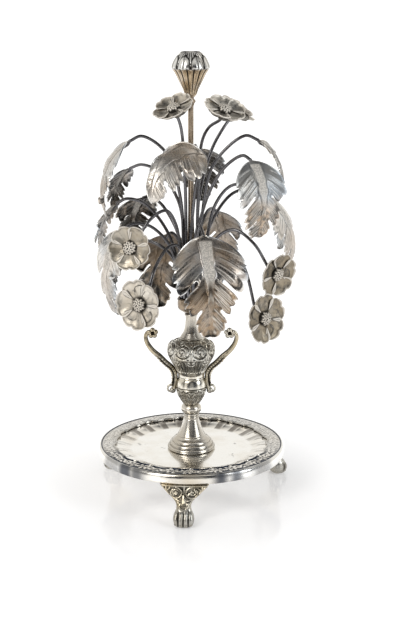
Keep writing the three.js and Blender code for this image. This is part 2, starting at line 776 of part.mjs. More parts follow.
// Centre line of a spray's wire, from the floor of the cup to its end.
function wirePoints(spray) {
  const slot = slotBearing(spray);
  const ringR = RING_RADIUS[spray.ring];
  const points = [polar(slot, ringR, stemFootZ), polar(slot, ringR, cupTopZ + CUT_MARGIN)];
  for (const [radius, level, bearing = spray.bearing] of spray.path) {
    points.push(polar(bearing, radius, levelZ(level)));
  }
  if (spray.flower) {
    const normal = direction(...spray.flower.facing);
    for (const behind of [FLOWER_APPROACH, PETAL_THICKNESS + GAP + WIRE_R / 2]) {
      points.push(flowerCentre(spray).addScaledVector(normal, -behind));
    }
  }
  return points;
}

function flowerCentre(spray) {
  const [radius, level] = spray.flower.centre;
  return polar(spray.bearing, radius, levelZ(level));
}

// Closes a sheet between two grids of points that match row for row: the face side and the
// back side. A grid whose rows join end to end has no side walls.
function closedSheet(face, back, ringRows) {
  const rows = face.length;
  const columns = face[0].length;
  const positions = [];
  for (const grid of [face, back]) {
    for (const row of grid) {
      for (const point of row) positions.push(point.x, point.y, point.z);
    }
  }
  const at = (layer, row, column) => layer * rows * columns + row * columns + (column % columns);
  const index = [];
  const quad = (a, b, c, d) => index.push(a, b, c, a, c, d);
  const lastColumn = ringRows ? columns : columns - 1;
  for (let row = 0; row < rows - 1; row += 1) {
    for (let column = 0; column < lastColumn; column += 1) {
      const corners = [[row, column], [row, column + 1], [row + 1, column + 1], [row + 1, column]];
      quad(...corners.map(([r, c]) => at(0, r, c)));
      quad(...corners.map(([r, c]) => at(1, r, c)).reverse());
    }
    if (!ringRows) {
      quad(at(0, row, 0), at(0, row + 1, 0), at(1, row + 1, 0), at(1, row, 0));
      quad(at(0, row + 1, columns - 1), at(0, row, columns - 1), at(1, row, columns - 1), at(1, row + 1, columns - 1));
    }
  }
  for (let column = 0; column < lastColumn; column += 1) {
    const last = rows - 1;
    quad(at(0, 0, column + 1), at(0, 0, column), at(1, 0, column), at(1, 0, column + 1));
    quad(at(0, last, column), at(0, last, column + 1), at(1, last, column + 1), at(1, last, column));
  }
  const geometry = new THREE.BufferGeometry();
  geometry.setAttribute("position", new THREE.Float32BufferAttribute(positions, 3));
  geometry.setIndex(index);
  return weld(geometry);
}

// The rib of a leaf bends evenly from its first pitch to its last, in the upright plane of
// its heading.
function ribFrame(leaf, heading, start, share) {
  const [first, last] = leaf.pitch;
  const steps = 24;
  const point = start.clone();
  for (let i = 0; i < steps; i += 1) {
    const pitch = first + (last - first) * share * ((i + 0.5) / steps);
    point.addScaledVector(direction(heading, pitch), (leaf.length * share) / steps);
  }
  const upright = direction(heading, first + (last - first) * share + 90);
  const level = polar(heading + 90, 1, 0);
  const roll = (leaf.roll ?? 0) * DEGREE;
  const outward = upright.clone().multiplyScalar(Math.cos(roll));
  outward.addScaledVector(level, Math.sin(roll));
  const sideways = level.clone().multiplyScalar(Math.cos(roll));
  sideways.addScaledVector(upright, -Math.sin(roll));
  return { point, outward, sideways };
}

// A leaf is a thin lobed sheet, cupped away from its face, that starts a gap past its wire.
function leafBlade(spray) {
  const leaf = spray.leaf;
  const heading = leaf.heading ?? spray.bearing;
  const wire = wirePoints(spray);
  const start = wire[wire.length - 1].clone();
  start.addScaledVector(direction(heading, leaf.pitch[0]), GAP + LEAF_THICKNESS / 2);
  const [leftShare, rightShare] = leaf.sides ?? [1, 1];
  const halfWidth = leaf.width / 2;
  const stalk = LEAF_STALK_WIDTH / 2 / halfWidth;
  const place = (along, across, lift) => {
    const frame = ribFrame(leaf, heading, start, along);
    const side = across * (across < 0 ? leftShare : rightShare);
    const drop = -LEAF_CUP * halfWidth * side * side;
    frame.point.addScaledVector(frame.sideways, side * halfWidth);
    return frame.point.addScaledVector(frame.outward, drop + lift);
  };
  const grid = (lift) => LEAF_OUTLINE.map((edge) => {
    const row = [];
    for (let column = -LEAF_COLUMNS; column <= LEAF_COLUMNS; column += 1) {
      const share = Math.abs(column) / LEAF_COLUMNS;
      const along = edge.rib + (edge.along - edge.rib) * share;
      const across = Math.max(edge.across, stalk) * share * Math.sign(column);
      row.push(place(along, across, lift));
    }
    return row;
  });
  return closedSheet(grid(LEAF_THICKNESS / 2), grid(-LEAF_THICKNESS / 2), false);
}

// A flower is one dished sheet of round petals with a raised button in the middle.
function flowerHead(spray) {
  const { size, facing } = spray.flower;
  const centre = flowerCentre(spray);
  const normal = direction(...facing);
  const sideways = polar(facing[0] + 90, 1, 0);
  const upward = new THREE.Vector3().crossVectors(normal, sideways);
  const steps = PETAL_COUNT * PETAL_STEPS;
  const radius = size / 2;
  const ring = (share, ringR, height) => {
    const points = [];
    for (let i = 0; i < steps; i += 1) {
      const angle = (2 * Math.PI * i) / steps;
      const phase = ((i % PETAL_STEPS) / PETAL_STEPS) * 2 - 1;
      const notch = 1 - PETAL_NOTCH * share * phase * phase;
      const point = centre.clone();
      point.addScaledVector(sideways, Math.cos(angle) * ringR * notch);
      point.addScaledVector(upward, Math.sin(angle) * ringR * notch);
      points.push(point.addScaledVector(normal, height));
    }
    return points;
  };
  const rings = [
    { share: 0, radius: 0, face: BUTTON_HEIGHT },
    { share: 0, radius: BUTTON_R * 0.7, face: BUTTON_HEIGHT * 0.8 },
    { share: 0, radius: BUTTON_R, face: 0.2 },
    { share: 1, radius, face: PETAL_DISH * radius },
  ];
  const face = rings.map((step) => ring(step.share, step.radius, step.face));
  const back = rings.map((step) => {
    const level = step.radius > BUTTON_R ? step.face : 0;
    return ring(step.share, step.radius, level - PETAL_THICKNESS);
  });
  return closedSheet(face, back, true);
}

function wireGeometry(spray) {
  return weld(bar(wirePoints(spray), WIRE_R, WIRE_SIDES, WIRE_STEPS));
}

// Assembly

addPiece(turnedPieces, "tray_dish", trayDish(), "polished_silver");
addPiece(turnedPieces, "tray_rim", trayRim(), "chased_silver");

for (const [name, bearing] of Object.entries(FOOT_BEARINGS)) {
  const foot = addPiece(turnedPieces, name, standing(pawFoot()), "chased_silver");
  foot.position.copy(polar(bearing, footCircleR, 0));
  foot.rotation.z = bearing * DEGREE;
}

const nut = addPiece(turnedPieces, "tray_nut", trayNut(), "polished_silver");
nut.position.z = floorUndersideZ - GAP - NUT_THICKNESS / 2;

const pedestal = addPiece(turnedPieces, "pedestal_foot", pedestalFoot(), "polished_silver");
pedestal.position.z = pedestalZ;

const knopPiece = addPiece(turnedPieces, "knop", knop(), "polished_silver");
knopPiece.position.z = knopZ;

const bowl = addPiece(turnedPieces, "vase_bowl", vaseBowl(), "chased_silver");
bowl.position.z = bowlZ;

const ball = addPiece(turnedPieces, "vase_shoulder", vaseBall(), "chased_silver");
ball.position.z = ballZ;

const neck = addPiece(turnedPieces, "vase_neck", vaseNeck(), "polished_silver");
neck.position.z = neckZ;

addPiece(turnedPieces, "handle_left", vaseHandle(-1), "chased_silver");
addPiece(turnedPieces, "handle_right", vaseHandle(1), "chased_silver");

const cup = addPiece(bouquet, "stem_cup", stemCup(), "polished_silver");
cup.position.z = cupZ;

const rod = addPiece(bouquet, "centre_rod", centreRod(), "warm_rod");
rod.position.z = stemFootZ;

const finial = addPiece(bouquet, "finial_bud", finialBud(), "warm_rod");
finial.position.z = finialZ;

for (const spray of SPRAYS) {
  addPiece(bouquet, `wire_${spray.name}`, wireGeometry(spray), "dark_wire");
  if (spray.leaf) addPiece(bouquet, spray.name, leafBlade(spray), "leaf_silver");
  else addPiece(bouquet, spray.name, flowerHead(spray), "flower_silver");
}

// The origin is the middle of the footprint, on the surface that the feet stand on.
centrepiece.updateMatrixWorld(true);
const footprint = new THREE.Box3().setFromObject(centrepiece, true);
const middle = footprint.getCenter(new THREE.Vector3());
centrepiece.position.set(-middle.x, -middle.y, -footprint.min.z);
centrepiece.updateMatrixWorld(true);

export default centrepiece;
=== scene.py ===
import functools
import math

import bpy
import numpy as np
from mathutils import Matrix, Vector


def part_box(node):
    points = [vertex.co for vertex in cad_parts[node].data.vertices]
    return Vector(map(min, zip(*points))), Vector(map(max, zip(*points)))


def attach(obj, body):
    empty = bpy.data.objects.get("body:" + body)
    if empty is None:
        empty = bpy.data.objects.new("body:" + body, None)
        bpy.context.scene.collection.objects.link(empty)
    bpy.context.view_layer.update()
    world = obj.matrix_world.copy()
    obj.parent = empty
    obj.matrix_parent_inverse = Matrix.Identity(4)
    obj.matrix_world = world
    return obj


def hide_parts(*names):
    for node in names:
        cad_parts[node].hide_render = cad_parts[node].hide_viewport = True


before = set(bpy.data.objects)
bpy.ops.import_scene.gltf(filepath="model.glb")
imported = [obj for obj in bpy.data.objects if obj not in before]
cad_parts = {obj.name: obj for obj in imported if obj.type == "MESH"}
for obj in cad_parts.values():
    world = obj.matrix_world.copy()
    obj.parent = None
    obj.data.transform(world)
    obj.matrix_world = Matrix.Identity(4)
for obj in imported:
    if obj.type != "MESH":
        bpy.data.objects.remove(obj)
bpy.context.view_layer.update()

MM = 0.001
UP = np.array([0.0, 0.0, 1.0])


def node_box(node):
    """Lowest and highest corner of a node, in millimetres."""
    low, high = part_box(node)
    return np.array(low) / MM, np.array(high) / MM


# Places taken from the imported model
rod_low, rod_high = node_box("centre_rod")
AXIS = np.array([(rod_low[0] + rod_high[0]) / 2, (rod_low[1] + rod_high[1]) / 2, 0.0])
ROD_TENON_LENGTH = 3.0
ROD_LENGTH = rod_high[2] - rod_low[2] - ROD_TENON_LENGTH
GAP = 0.3
STEM_FOOT_Z = rod_low[2]
CUP_FLOOR_Z = STEM_FOOT_Z - GAP
CUP_TOP_Z = node_box("stem_cup")[1][2]
TRAY_TOP_Z = node_box("tray_rim")[1][2]
TRAY_RIM_Z = node_box("tray_rim")[0][2]
TRAY_R = node_box("tray_rim")[1][0] - AXIS[0]
FOOT_HEIGHT = node_box("foot_front")[1][2]
FOOT_BEARINGS = {"foot_front": -3.9, "foot_rear_right": 116.1, "foot_rear_left": -123.9}

# Wires, and the rings of slots in the cup: number of slots, bearing of the first, radius
WIRE_R = 1.0
CUT_MARGIN = 1.0
RINGS = {"inner": (9, -145.0, 3.581), "outer": (13, 13.0, 6.081)}
PETAL_THICKNESS = 0.8
FLOWER_APPROACH = 6.0


# Sprays

def curl_under(side, rib, radius=3.2):
    """Where a leaf's edge rolls back: its side (-1 left, 1 right) and the share of the rib."""
    return {"side": side, "rib": rib, "radius": radius, "spread": 0.06, "start": 0.7, "towards": -1}


def curl_over(side, rib, radius=1.7):
    return {"side": side, "rib": rib, "radius": radius, "spread": 0.045, "start": 0.78, "towards": 1}


def leaf(name, ring, slot, bearing, path, length, width, pitch, **look):
    """A wire and its leaf. pitch is the rib's slope at the base and at the tip, sides how far the
    left and the right half reach out, and veins how strongly each half is engraved. warm (brown
    tarnish), dark (black blotches) and an even painted shade are given at base and tip. One value
    gives how matt the blade is and how far a painted sheen lightens it; grain is how rough its
    band, teeth how sharp its edge and swell how far its lobes puff up."""
    plain = {"heading": bearing, "roll": 0, "sides": (1, 1), "veins": (1.0, 1.0), "satin": 0.0,
             "grain": 0.85, "teeth": 1.0, "swell": 1.0, "curls": []}
    return {"kind": "leaf", "name": "leaf_" + name, "ring": ring, "slot": slot, "bearing": bearing,
            "path": path, "length": length, "width": width, "pitch": pitch, **plain, **look}


def flower(name, ring, slot, bearing, path, centre, size, facing, **look):
    """A wire and its flower, whose centre is a radius and a level. spin turns its petals."""
    return {"kind": "flower", "name": "flower_" + name, "ring": ring, "slot": slot,
            "bearing": bearing, "path": path, "centre": centre, "size": size, "facing": facing,
            **look}


# A path holds the wire's [radius, level] points, with a bearing where it leaves the spray's own. A
# level is a height above the cup's floor, as a share of the rod's length.
SPRAYS = [
    leaf("front_low", "outer", 0, 12, [(8, 0.223), (13, 0.353), (24, 0.438), (37, 0.407)],
         65, 44, (-38, -108), sides=(1, 1.1), warm=(0.55, 0.95), dark=(0.1, 0.25),
         tone=(0.28, 0.3), veins=(0.35, 0.9),
         curls=[curl_under(1, 0.29), curl_over(-1, 0.33), curl_under(1, 0.5, 2.4),
                curl_under(-1, 0.51)]),
    leaf("front_high", "inner", 3, 60, [(4.4, 0.223, -12), (5.2, 0.461, 12), (7, 0.645, 40),
                                        (10.4, 0.733, 56), (10.2, 0.75, 46)],
         58, 46, (24, -92), heading=-48, roll=24, sides=(0.3, 1), warm=(0.6, 0.5),
         dark=(0.0, 0.0), tone=(0.0, 0.1), satin=0.22, grain=0.25, teeth=0.4,
         curls=[curl_over(-1, 0.3, 2.2), curl_under(1, 0.31)]),
    leaf("left_high", "inner", 1, -80, [(4.6, 0.223), (6.5, 0.53), (15, 0.745), (30, 0.828),
                                        (37.5, 0.806)],
         52, 40, (-32, -115), warm=(0.35, 0.75), dark=(0.1, 0.2), tone=(0.15, 0.25), satin=0.1,
         curls=[curl_under(-1, 0.3), curl_over(1, 0.5)]),
    leaf("left_mid", "outer", 9, -106, [(8, 0.192, -100), (15, 0.361, -104), (30, 0.492),
                                        (42, 0.511), (48, 0.488)],
         34, 30, (-35, -110), warm=(0.55, 0.5), dark=(0.25, 0.35), tone=(0.3, 0.3),
         veins=(0.3, 0.3), curls=[curl_under(1, 0.3)]),
    leaf("left_low", "outer", 10, -80, [(8, 0.184), (15, 0.323), (26, 0.403), (36, 0.415),
                                        (42.5, 0.392)],
         58, 42, (-48, -125), heading=-66, warm=(0.3, 0.45), dark=(0.05, 0.2), tone=(0.1, 0.2),
         satin=0.2, curls=[curl_over(1, 0.3), curl_under(-1, 0.5)]),
    leaf("rear_left_high", "inner", 0, -125, [(4.4, 0.223), (9, 0.499), (24, 0.637), (38, 0.664),
                                              (47, 0.641)],
         32, 25, (-30, -105), warm=(0.5, 0.5), dark=(0.46, 0.5), tone=(0.25, 0.25),
         veins=(0.3, 0.3), curls=[curl_under(1, 0.3)]),
    leaf("rear_left_mid", "outer", 7, -140, [(8, 0.192, -148), (13, 0.346), (29, 0.469),
                                             (42, 0.495), (48, 0.484)],
         32, 34, (-35, -110), warm=(0.5, 0.4), dark=(0.55, 0.55), tone=(0.3, 0.3),
         veins=(0.2, 0.2), curls=[curl_under(1, 0.3), curl_under(-1, 0.3)]),
    leaf("rear_left_low", "outer", 8, -116, [(8.5, 0.161, -124), (16, 0.253, -120), (30, 0.303),
                                             (42, 0.276)],
         35, 32, (-25, -108), warm=(0.4, 0.3), dark=(0.5, 0.54), tone=(0.15, 0.15),
         veins=(0.2, 0.2), curls=[curl_under(-1, 0.3)]),
    leaf("rear_left_big", "outer", 6, -155, [(8.5, 0.161, -172), (15, 0.261, -160), (27, 0.323),
                                             (36, 0.307)],
         56, 42, (-42, -112), warm=(0.9, 0.8), dark=(0.15, 0.4), tone=(0.6, 0.5),
         veins=(0.25, 0.25), grain=0.0, curls=[curl_under(1, 0.3), curl_under(-1, 0.5)]),
    leaf("rear_high", "inner", 8, 172, [(4.4, 0.223), (5, 0.53), (10, 0.707), (19, 0.76),
                                        (26, 0.737)],
         44, 34, (-25, -100), warm=(0.4, 0.5), dark=(0.4, 0.5), tone=(0.2, 0.2)),
    leaf("rear_right_big", "outer", 5, 156, [(8, 0.192), (13, 0.346), (24, 0.43), (33, 0.44),
                                             (38, 0.424)],
         44, 30, (-38, -108), warm=(0.65, 0.7), dark=(0.05, 0.15), tone=(0.4, 0.35),
         veins=(0.25, 0.25), grain=0.0, curls=[curl_under(-1, 0.3)]),
    leaf("rear_right_mid", "outer", 4, 117, [(8, 0.184), (13.5, 0.391), (29, 0.534), (44, 0.545),
                                             (51, 0.511)],
         40, 28, (-35, -108), warm=(0.2, 0.1), dark=(0.25, 0.1), tone=(0.2, 0.0),
         veins=(0.5, 0.5), satin=0.3, curls=[curl_under(-1, 0.3)]),
    leaf("right_high", "inner", 6, 88, [(5, 0.223, 97), (7, 0.453, 92), (13.7, 0.688),
                                        (33, 0.826), (41, 0.806)],
         41, 36, (-28, -112), warm=(0.3, 0.4), dark=(0.35, 0.35), tone=(0.3, 0.3)),
    leaf("right_low", "outer", 3, 85, [(8.2, 0.2), (14.5, 0.491), (25, 0.592), (36, 0.592),
                                       (44.5, 0.553)],
         54, 40, (-28, -116), heading=70, sides=(0.85, 0.7), warm=(0.2, 0.8), dark=(0.0, 0.0),
         tone=(0.0, 0.1), satin=0.4, swell=-0.1, curls=[curl_under(1, 0.3)]),
    leaf("right_front", "inner", 4, 46, [(5, 0.223, 25), (7.5, 0.392, 38), (16, 0.576),
                                         (29, 0.703), (43, 0.764), (49, 0.749)],
         54, 35, (-30, -140), heading=32, warm=(0.05, 0.95), dark=(0.1, 0.42), tone=(0.6, 0.05),
         satin=0.1, curls=[curl_under(1, 0.3, 4)]),
    flower("top_left", "inner", 2, -50, [(4, 0.223), (4.6, 0.607), (7.5, 0.86)],
           (13.2, 0.958), 26, (-41, 58), spin=20, warm=0.45, dark=0.25, tone=0.1, satin=0.15),
    flower("top_right", "inner", 5, 42, [(4.4, 0.223, 58), (4.8, 0.53, 66), (7, 0.791, 70),
                                         (13.5, 0.868, 52)],
           (30, 0.963), 26, (36, 60), spin=0, warm=0.3, dark=0.2, tone=0.1, satin=0.15),
    flower("top_rear", "inner", 7, 122, [(4.4, 0.223), (6, 0.53), (15, 0.749), (24, 0.853)],
           (33, 0.929), 26, (112, 52), spin=40, warm=0.6, dark=0.25, tone=0.2, satin=0.1),
    flower("left_mid", "outer", 11, -48, [(8.5, 0.223), (12, 0.407), (20, 0.488), (33, 0.457)],
           (49, 0.342), 27, (-14, 8), spin=52, warm=0.7, dark=0.2, tone=0.3, satin=0.1),
    flower("left_low", "outer", 12, -37, [(8.5, 0.207, -26), (14, 0.315, -33), (22, 0.323),
                                          (36, 0.238)],
           (50.8, 0.088), 31, (-30, 4), spin=38, warm=0.6, dark=0.2, tone=0.1, satin=0.25),
    flower("right_mid", "outer", 2, 67, [(9, 0.207), (18, 0.353), (29, 0.394), (42, 0.334)],
           (57, 0.2), 28, (40, -12), spin=10, warm=1.0, dark=0.25, tone=0.4, satin=0.1),
    flower("right_low", "outer", 1, 57, [(9, 0.192, 45), (15, 0.284, 52), (24, 0.311),
                                         (38, 0.238)],
           (53.7, 0), 31, (40, 4), spin=24, warm=1.0, dark=0.25, tone=0.4, satin=0.1),
]


# Geometry helpers

def polar(bearing, radius, height=0.0):
    angle = math.radians(bearing)
    return np.array([radius * math.sin(angle), -radius * math.cos(angle), height])


def direction(bearing, elevation):
    level = math.cos(math.radians(elevation))
    return polar(bearing, level, math.sin(math.radians(elevation)))


def unit(vectors):
    length = np.linalg.norm(vectors, axis=-1, keepdims=True)
    return vectors / np.maximum(length, 1e-9)


def smoothstep(low, high, value):
    share = np.clip((value - low) / (high - low), 0, 1)
    return share * share * (3 - 2 * share)


def bell(value, width):
    """1 where the value is nothing, falling off over the width on both sides."""
    return np.exp(-(value / width) ** 2)


def highest(*values):
    """The highest of several grids of values, place by place."""
    return functools.reduce(np.maximum, values)


def smooth_curve(points, count):
    """A centripetal Catmull-Rom curve through the points, with count steps on each stretch."""
    points = [np.asarray(p, float) for p in points]
    ends = [2 * points[0] - points[1], *points, 2 * points[-1] - points[-2]]
    found = []
    for i in range(len(points) - 1):
        a, b, c, d = ends[i:i + 4]
        spans = [max(np.sum((q - p) ** 2) ** 0.25, 1e-4) for p, q in ((a, b), (b, c), (c, d))]
        first = (b - a) / spans[0] - (c - a) / (spans[0] + spans[1]) + (c - b) / spans[1]
        second = (c - b) / spans[1] - (d - b) / (spans[1] + spans[2]) + (d - c) / spans[2]
        first, second = first * spans[1], second * spans[1]
        for step in range(count):
            t = step / count
            found.append(b + first * t + (3 * (c - b) - 2 * first - second) * t ** 2
                         + (2 * (b - c) + first + second) * t ** 3)
    found.append(points[-1])
    return np.array(found)


def by_length(points, spacing):
    """The same line with points at an even spacing."""
    steps = np.linalg.norm(np.diff(points, axis=0), axis=1)
    travelled = np.concatenate([[0], np.cumsum(steps)])
    count = max(2, int(round(travelled[-1] / spacing)) + 1)
    wanted = np.linspace(0, travelled[-1], count)
    return np.stack([np.interp(wanted, travelled, column) for column in points.T], axis=1)


def grid_faces(rows, columns, ring, start=0):
    """The quads of a grid of points; ring joins the last column to the first."""
    row, column = np.meshgrid(np.arange(rows - 1), np.arange(columns - (not ring)), indexing="ij")
    following = (column + 1) % columns
    corners = [row * columns + column, row * columns + following,
               (row + 1) * columns + following, (row + 1) * columns + column]
    return np.stack(corners, axis=-1).reshape(-1, 4) + start


def closed_ring(rows, columns):
    """The quads of a grid that closes on itself both ways."""
    column = np.arange(columns)
    following = (column + 1) % columns
    last = (rows - 1) * columns
    seam = np.stack([last + column, last + following, following, column], axis=-1)
    return list(grid_faces(rows, columns, True)) + list(seam)


def grid_normals(grid, ring, outward):
    """Unit normals of a grid of points, on the side where most of them point outward."""
    along = np.gradient(grid, axis=0)
    if ring:
        across = np.roll(grid, -1, axis=1) - np.roll(grid, 1, axis=1)
    else:
        across = np.gradient(grid, axis=1)
    normals = unit(np.cross(across, along))
    return -normals if np.median(np.sum(normals * outward, axis=-1)) < 0 else normals


class Shape:
    """Points in millimetres, the faces between them and the painted values at each point. A
    painted value is given as one number, or as one for each point."""

    VALUES = ("recess", "grain", "warm", "dark", "satin")

    def __init__(self):
        self.points = []
        self.faces = []
        self.values = {key: [] for key in self.VALUES}
        self.count = 0

    def add(self, points, faces, **values):
        """Adds one closed part, with its faces turned outward."""
        points = np.asarray(points, float).reshape(-1, 3)
        quads = np.array([face for face in faces if len(face) == 4])
        corners = points[quads] - points[0]
        volume = 0.0
        for second in (1, 2):
            normals = np.cross(corners[:, second], corners[:, second + 1])
            volume += np.sum(corners[:, 0] * normals)
        turned = [face[::-1] for face in faces] if volume < 0 else faces
        self.faces.extend((np.asarray(face) + self.count).tolist() for face in turned)
        self.points.append(points)
        for key in self.VALUES:
            value = np.ravel(np.asarray(values.get(key, 0.0), float))
            self.values[key].append(np.broadcast_to(value, len(points)))
        self.count += len(points)

    def add_sheet(self, face, back, **values):
        """A closed sheet between two grids that match point for point."""
        rows, columns = face.shape[:2]
        size = rows * columns
        quads = list(grid_faces(rows, columns, False))
        quads += [quad[::-1] for quad in grid_faces(rows, columns, False, size)]
        index = np.arange(size).reshape(rows, columns)
        edges = [(index[0], False), (index[-1], True), (index[:, 0], True), (index[:, -1], False)]
        for edge, turn in edges:
            for a, b in zip(edge[:-1], edge[1:]):
                quad = np.array([a, a + size, b + size, b])
                quads.append(quad[::-1] if turn else quad)
        both = {key: np.tile(np.ravel(value), 2) if np.size(value) > 1 else value
                for key, value in values.items()}
        self.add(np.concatenate([face.reshape(-1, 3), back.reshape(-1, 3)]), quads, **both)

    def add_tube(self, rings, **values):
        """Rings of points joined in order, with a cap on each end."""
        count, sides = rings.shape[:2]
        quads = list(grid_faces(count, sides, True))
        quads.append(np.arange(sides)[::-1])
        quads.append(np.arange(sides) + (count - 1) * sides)
        self.add(rings, quads, **values)

    def add_bead(self, centre, radii, steps, **values):
        """An ellipsoid."""
        lift = np.linspace(-math.pi / 2, math.pi / 2, steps)[1:-1]
        turn = np.linspace(0, 2 * math.pi, 2 * steps, endpoint=False)
        lift, turn = np.meshgrid(lift, turn, indexing="ij")
        local = [np.cos(lift) * np.cos(turn), np.cos(lift) * np.sin(turn), np.sin(lift)]
        self.add_tube(np.stack(local, axis=-1) * radii + centre, **values)

    def place(self, name, node, body, slot_name, material, sharp=40):
        """Makes the piece, lets it stand for its node and ride on its body."""
        mesh = bpy.data.meshes.new(name)
        points = np.concatenate(self.points) * MM
        mesh.from_pydata(points.tolist(), [], self.faces)
        for key in self.VALUES:
            value = np.clip(np.concatenate(self.values[key]), 0, 1).astype(np.float32)
            mesh.attributes.new(key, "FLOAT", "POINT").data.foreach_set("value", value)
        mesh.validate()
        mesh.update()
        mesh.shade_smooth()
        mesh.set_sharp_from_angle(angle=math.radians(sharp))
        mesh.materials.append(material)
        made = bpy.data.objects.new(name, mesh)
        bpy.context.scene.collection.objects.link(made)
        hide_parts(node)
        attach(made, body)


def cross_directions(points):
    """Two directions across a line at each of its points, without twist."""
    tangents = unit(np.gradient(points, axis=0))
    helper = UP if abs(tangents[0][2]) < 0.9 else np.array([1.0, 0.0, 0.0])
    side = unit(np.cross(tangents[0], helper))
    sides = []
    for tangent in tangents:
        side = unit(side - tangent * np.dot(side, tangent))
        sides.append(side)
    sides = np.array(sides)
    return sides, np.cross(tangents, sides)


def tube_normals(points, count):
    """Directions all round a line, one ring of count for each point."""
    first, second = cross_directions(points)
    turn = np.linspace(0, 2 * math.pi, count, endpoint=False)[None, :, None]
    return np.cos(turn) * first[:, None] + np.sin(turn) * second[:, None]


def tube_rings(points, radii, count):
    return points[:, None] + tube_normals(points, count) * radii[:, None, None]


AXIS_HOLE_R = 0.05


def profile_line(points, spacing, base=0.0):
    """A turned profile that stands on a base height: each stretch runs smoothly, a None between
    points keeps a corner, and a pinhole along the axis stays open."""
    stretches = [[]]
    for point in points:
        if point is None:
            stretches.append([stretches[-1][-1]])
        else:
            stretches[-1].append((max(point[0], AXIS_HOLE_R), point[1] + base))
    lines = []
    for stretch in stretches:
        if len(stretch) > 1:
            line = by_length(smooth_curve(stretch, 12), spacing)
            lines.append(line if not lines else line[1:])
    return np.concatenate(lines)


def turned_grid(profile, columns):
    """Points of a turned surface, one row for each [radius, height] of the profile."""
    turn = np.linspace(0, 2 * math.pi, columns, endpoint=False)
    radius, height = profile[:, 0][:, None], profile[:, 1][:, None]
    grid = np.stack([radius * np.sin(turn), -radius * np.cos(turn), height + 0 * turn], axis=-1)
    return grid + AXIS


def shifted(grid, shift):
    """Moves each point outward from the axis by its shift."""
    flat = grid - AXIS
    radius = np.hypot(flat[..., 0], flat[..., 1])[..., None]
    return grid + flat * np.array([1, 1, 0]) / np.maximum(radius, 1e-6) * shift[..., None]


def wrapped(turn, count):
    """Degrees from the middle of the nearest of count equal sectors, the first at the front."""
    sector = 360 / count
    return (turn + sector / 2) % sector - sector / 2


# Relief drawn with strokes on a flat sheet of [x, y] in millimetres

def stroke_distance(places, line):
    """Distance from each place to a line of points."""
    nearest = np.full(places.shape[:-1], 1e9)
    for start, end in zip(line[:-1], line[1:]):
        run = end - start
        share = np.clip(((places - start) @ run) / max(run @ run, 1e-9), 0, 1)
        gap = np.linalg.norm(places - start - share[..., None] * run, axis=-1)
        nearest = np.minimum(nearest, gap)
    return nearest


def arc_line(centre, radius, start, end, count, end_radius=None):
    """An arc or a spiral about a centre, from one angle to another in degrees."""
    angle = np.radians(np.linspace(start, end, count))
    reach = np.linspace(radius, radius if end_radius is None else end_radius, count)
    return np.stack([centre[0] + reach * np.cos(angle), centre[1] + reach * np.sin(angle)], axis=1)


def stack_ridges(places, strokes):
    """The highest of many rounded ridges; a stroke is (line, width, height)."""
    relief = np.zeros(places.shape[:-1])
    for line, width, height in strokes:
        share = np.clip(1 - stroke_distance(places, np.asarray(line, float)) / width, 0, 1)
        relief = np.maximum(relief, height * np.sqrt(1 - (1 - share) ** 2))
    return relief


def blur(values, passes):
    """Softens a grid of values whose last column joins the first."""
    for _ in range(passes):
        padded = np.pad(values, ((1, 1), (0, 0)), mode="edge")
        values = (padded[:-2] + 2 * values + padded[2:]) / 4
        values = (np.roll(values, 1, axis=1) + 2 * values + np.roll(values, -1, axis=1)) / 4
    return values


def hollows(relief, passes, depth):
    """How far each place lies below its surroundings, as a share of depth."""
    return np.clip((blur(relief, passes) - relief) / depth, 0, 1)


# Materials

def new_material(name):
    material = bpy.data.materials.new(name)
    material.use_nodes = True
    tree = material.node_tree
    return material, tree, tree.nodes["Principled BSDF"]


def add_node(tree, kind, **settings):
    """A node with its inputs or its own settings filled in."""
    node = tree.nodes.new(kind)
    for key, value in settings.items():
        if key in node.inputs:
            node.inputs[key].default_value = value
        else:
            setattr(node, key, value)
    return node


def painted(tree, key):
    return add_node(tree, "ShaderNodeAttribute", attribute_name=key).outputs["Fac"]


def noise(tree, scale, detail=3.0, roughness=0.55):
    place = add_node(tree, "ShaderNodeTexCoord")
    made = add_node(tree, "ShaderNodeTexNoise", Scale=scale, Detail=detail, Roughness=roughness)
    tree.links.new(place.outputs["Object"], made.inputs["Vector"])
    return made.outputs["Fac"]


def ranged(tree, value, low, high, new_low=0.0, new_high=1.0):
    ends = {"From Min": low, "From Max": high, "To Min": new_low, "To Max": new_high}
    node = add_node(tree, "ShaderNodeMapRange", **ends)
    tree.links.new(value, node.inputs["Value"])
    return node.outputs["Result"]


def combine(tree, operation, *values):
    """Sockets and numbers folded into one with a math operation."""
    result = values[0]
    for value in values[1:]:
        node = add_node(tree, "ShaderNodeMath", operation=operation)
        for socket, part in zip(node.inputs, (result, value)):
            if isinstance(part, (int, float)):
                socket.default_value = part
            else:
                tree.links.new(part, socket)
        result = node.outputs["Value"]
    return result


def mix_colour(tree, share, first, second):
    node = add_node(tree, "ShaderNodeMix", data_type="RGBA")
    tree.links.new(share, node.inputs["Factor"])
    for key, value in ((6, first), (7, second)):
        if isinstance(value, tuple):
            node.inputs[key].default_value = (*value, 1)
        else:
            tree.links.new(value, node.inputs[key])
    return node.outputs[2]


SOOT = (0.05, 0.047, 0.042)
FROST = (0.85, 0.8, 0.73)
GRAINS_PER_METRE = 1100.0
SCRATCHES_PER_METRE = 260.0


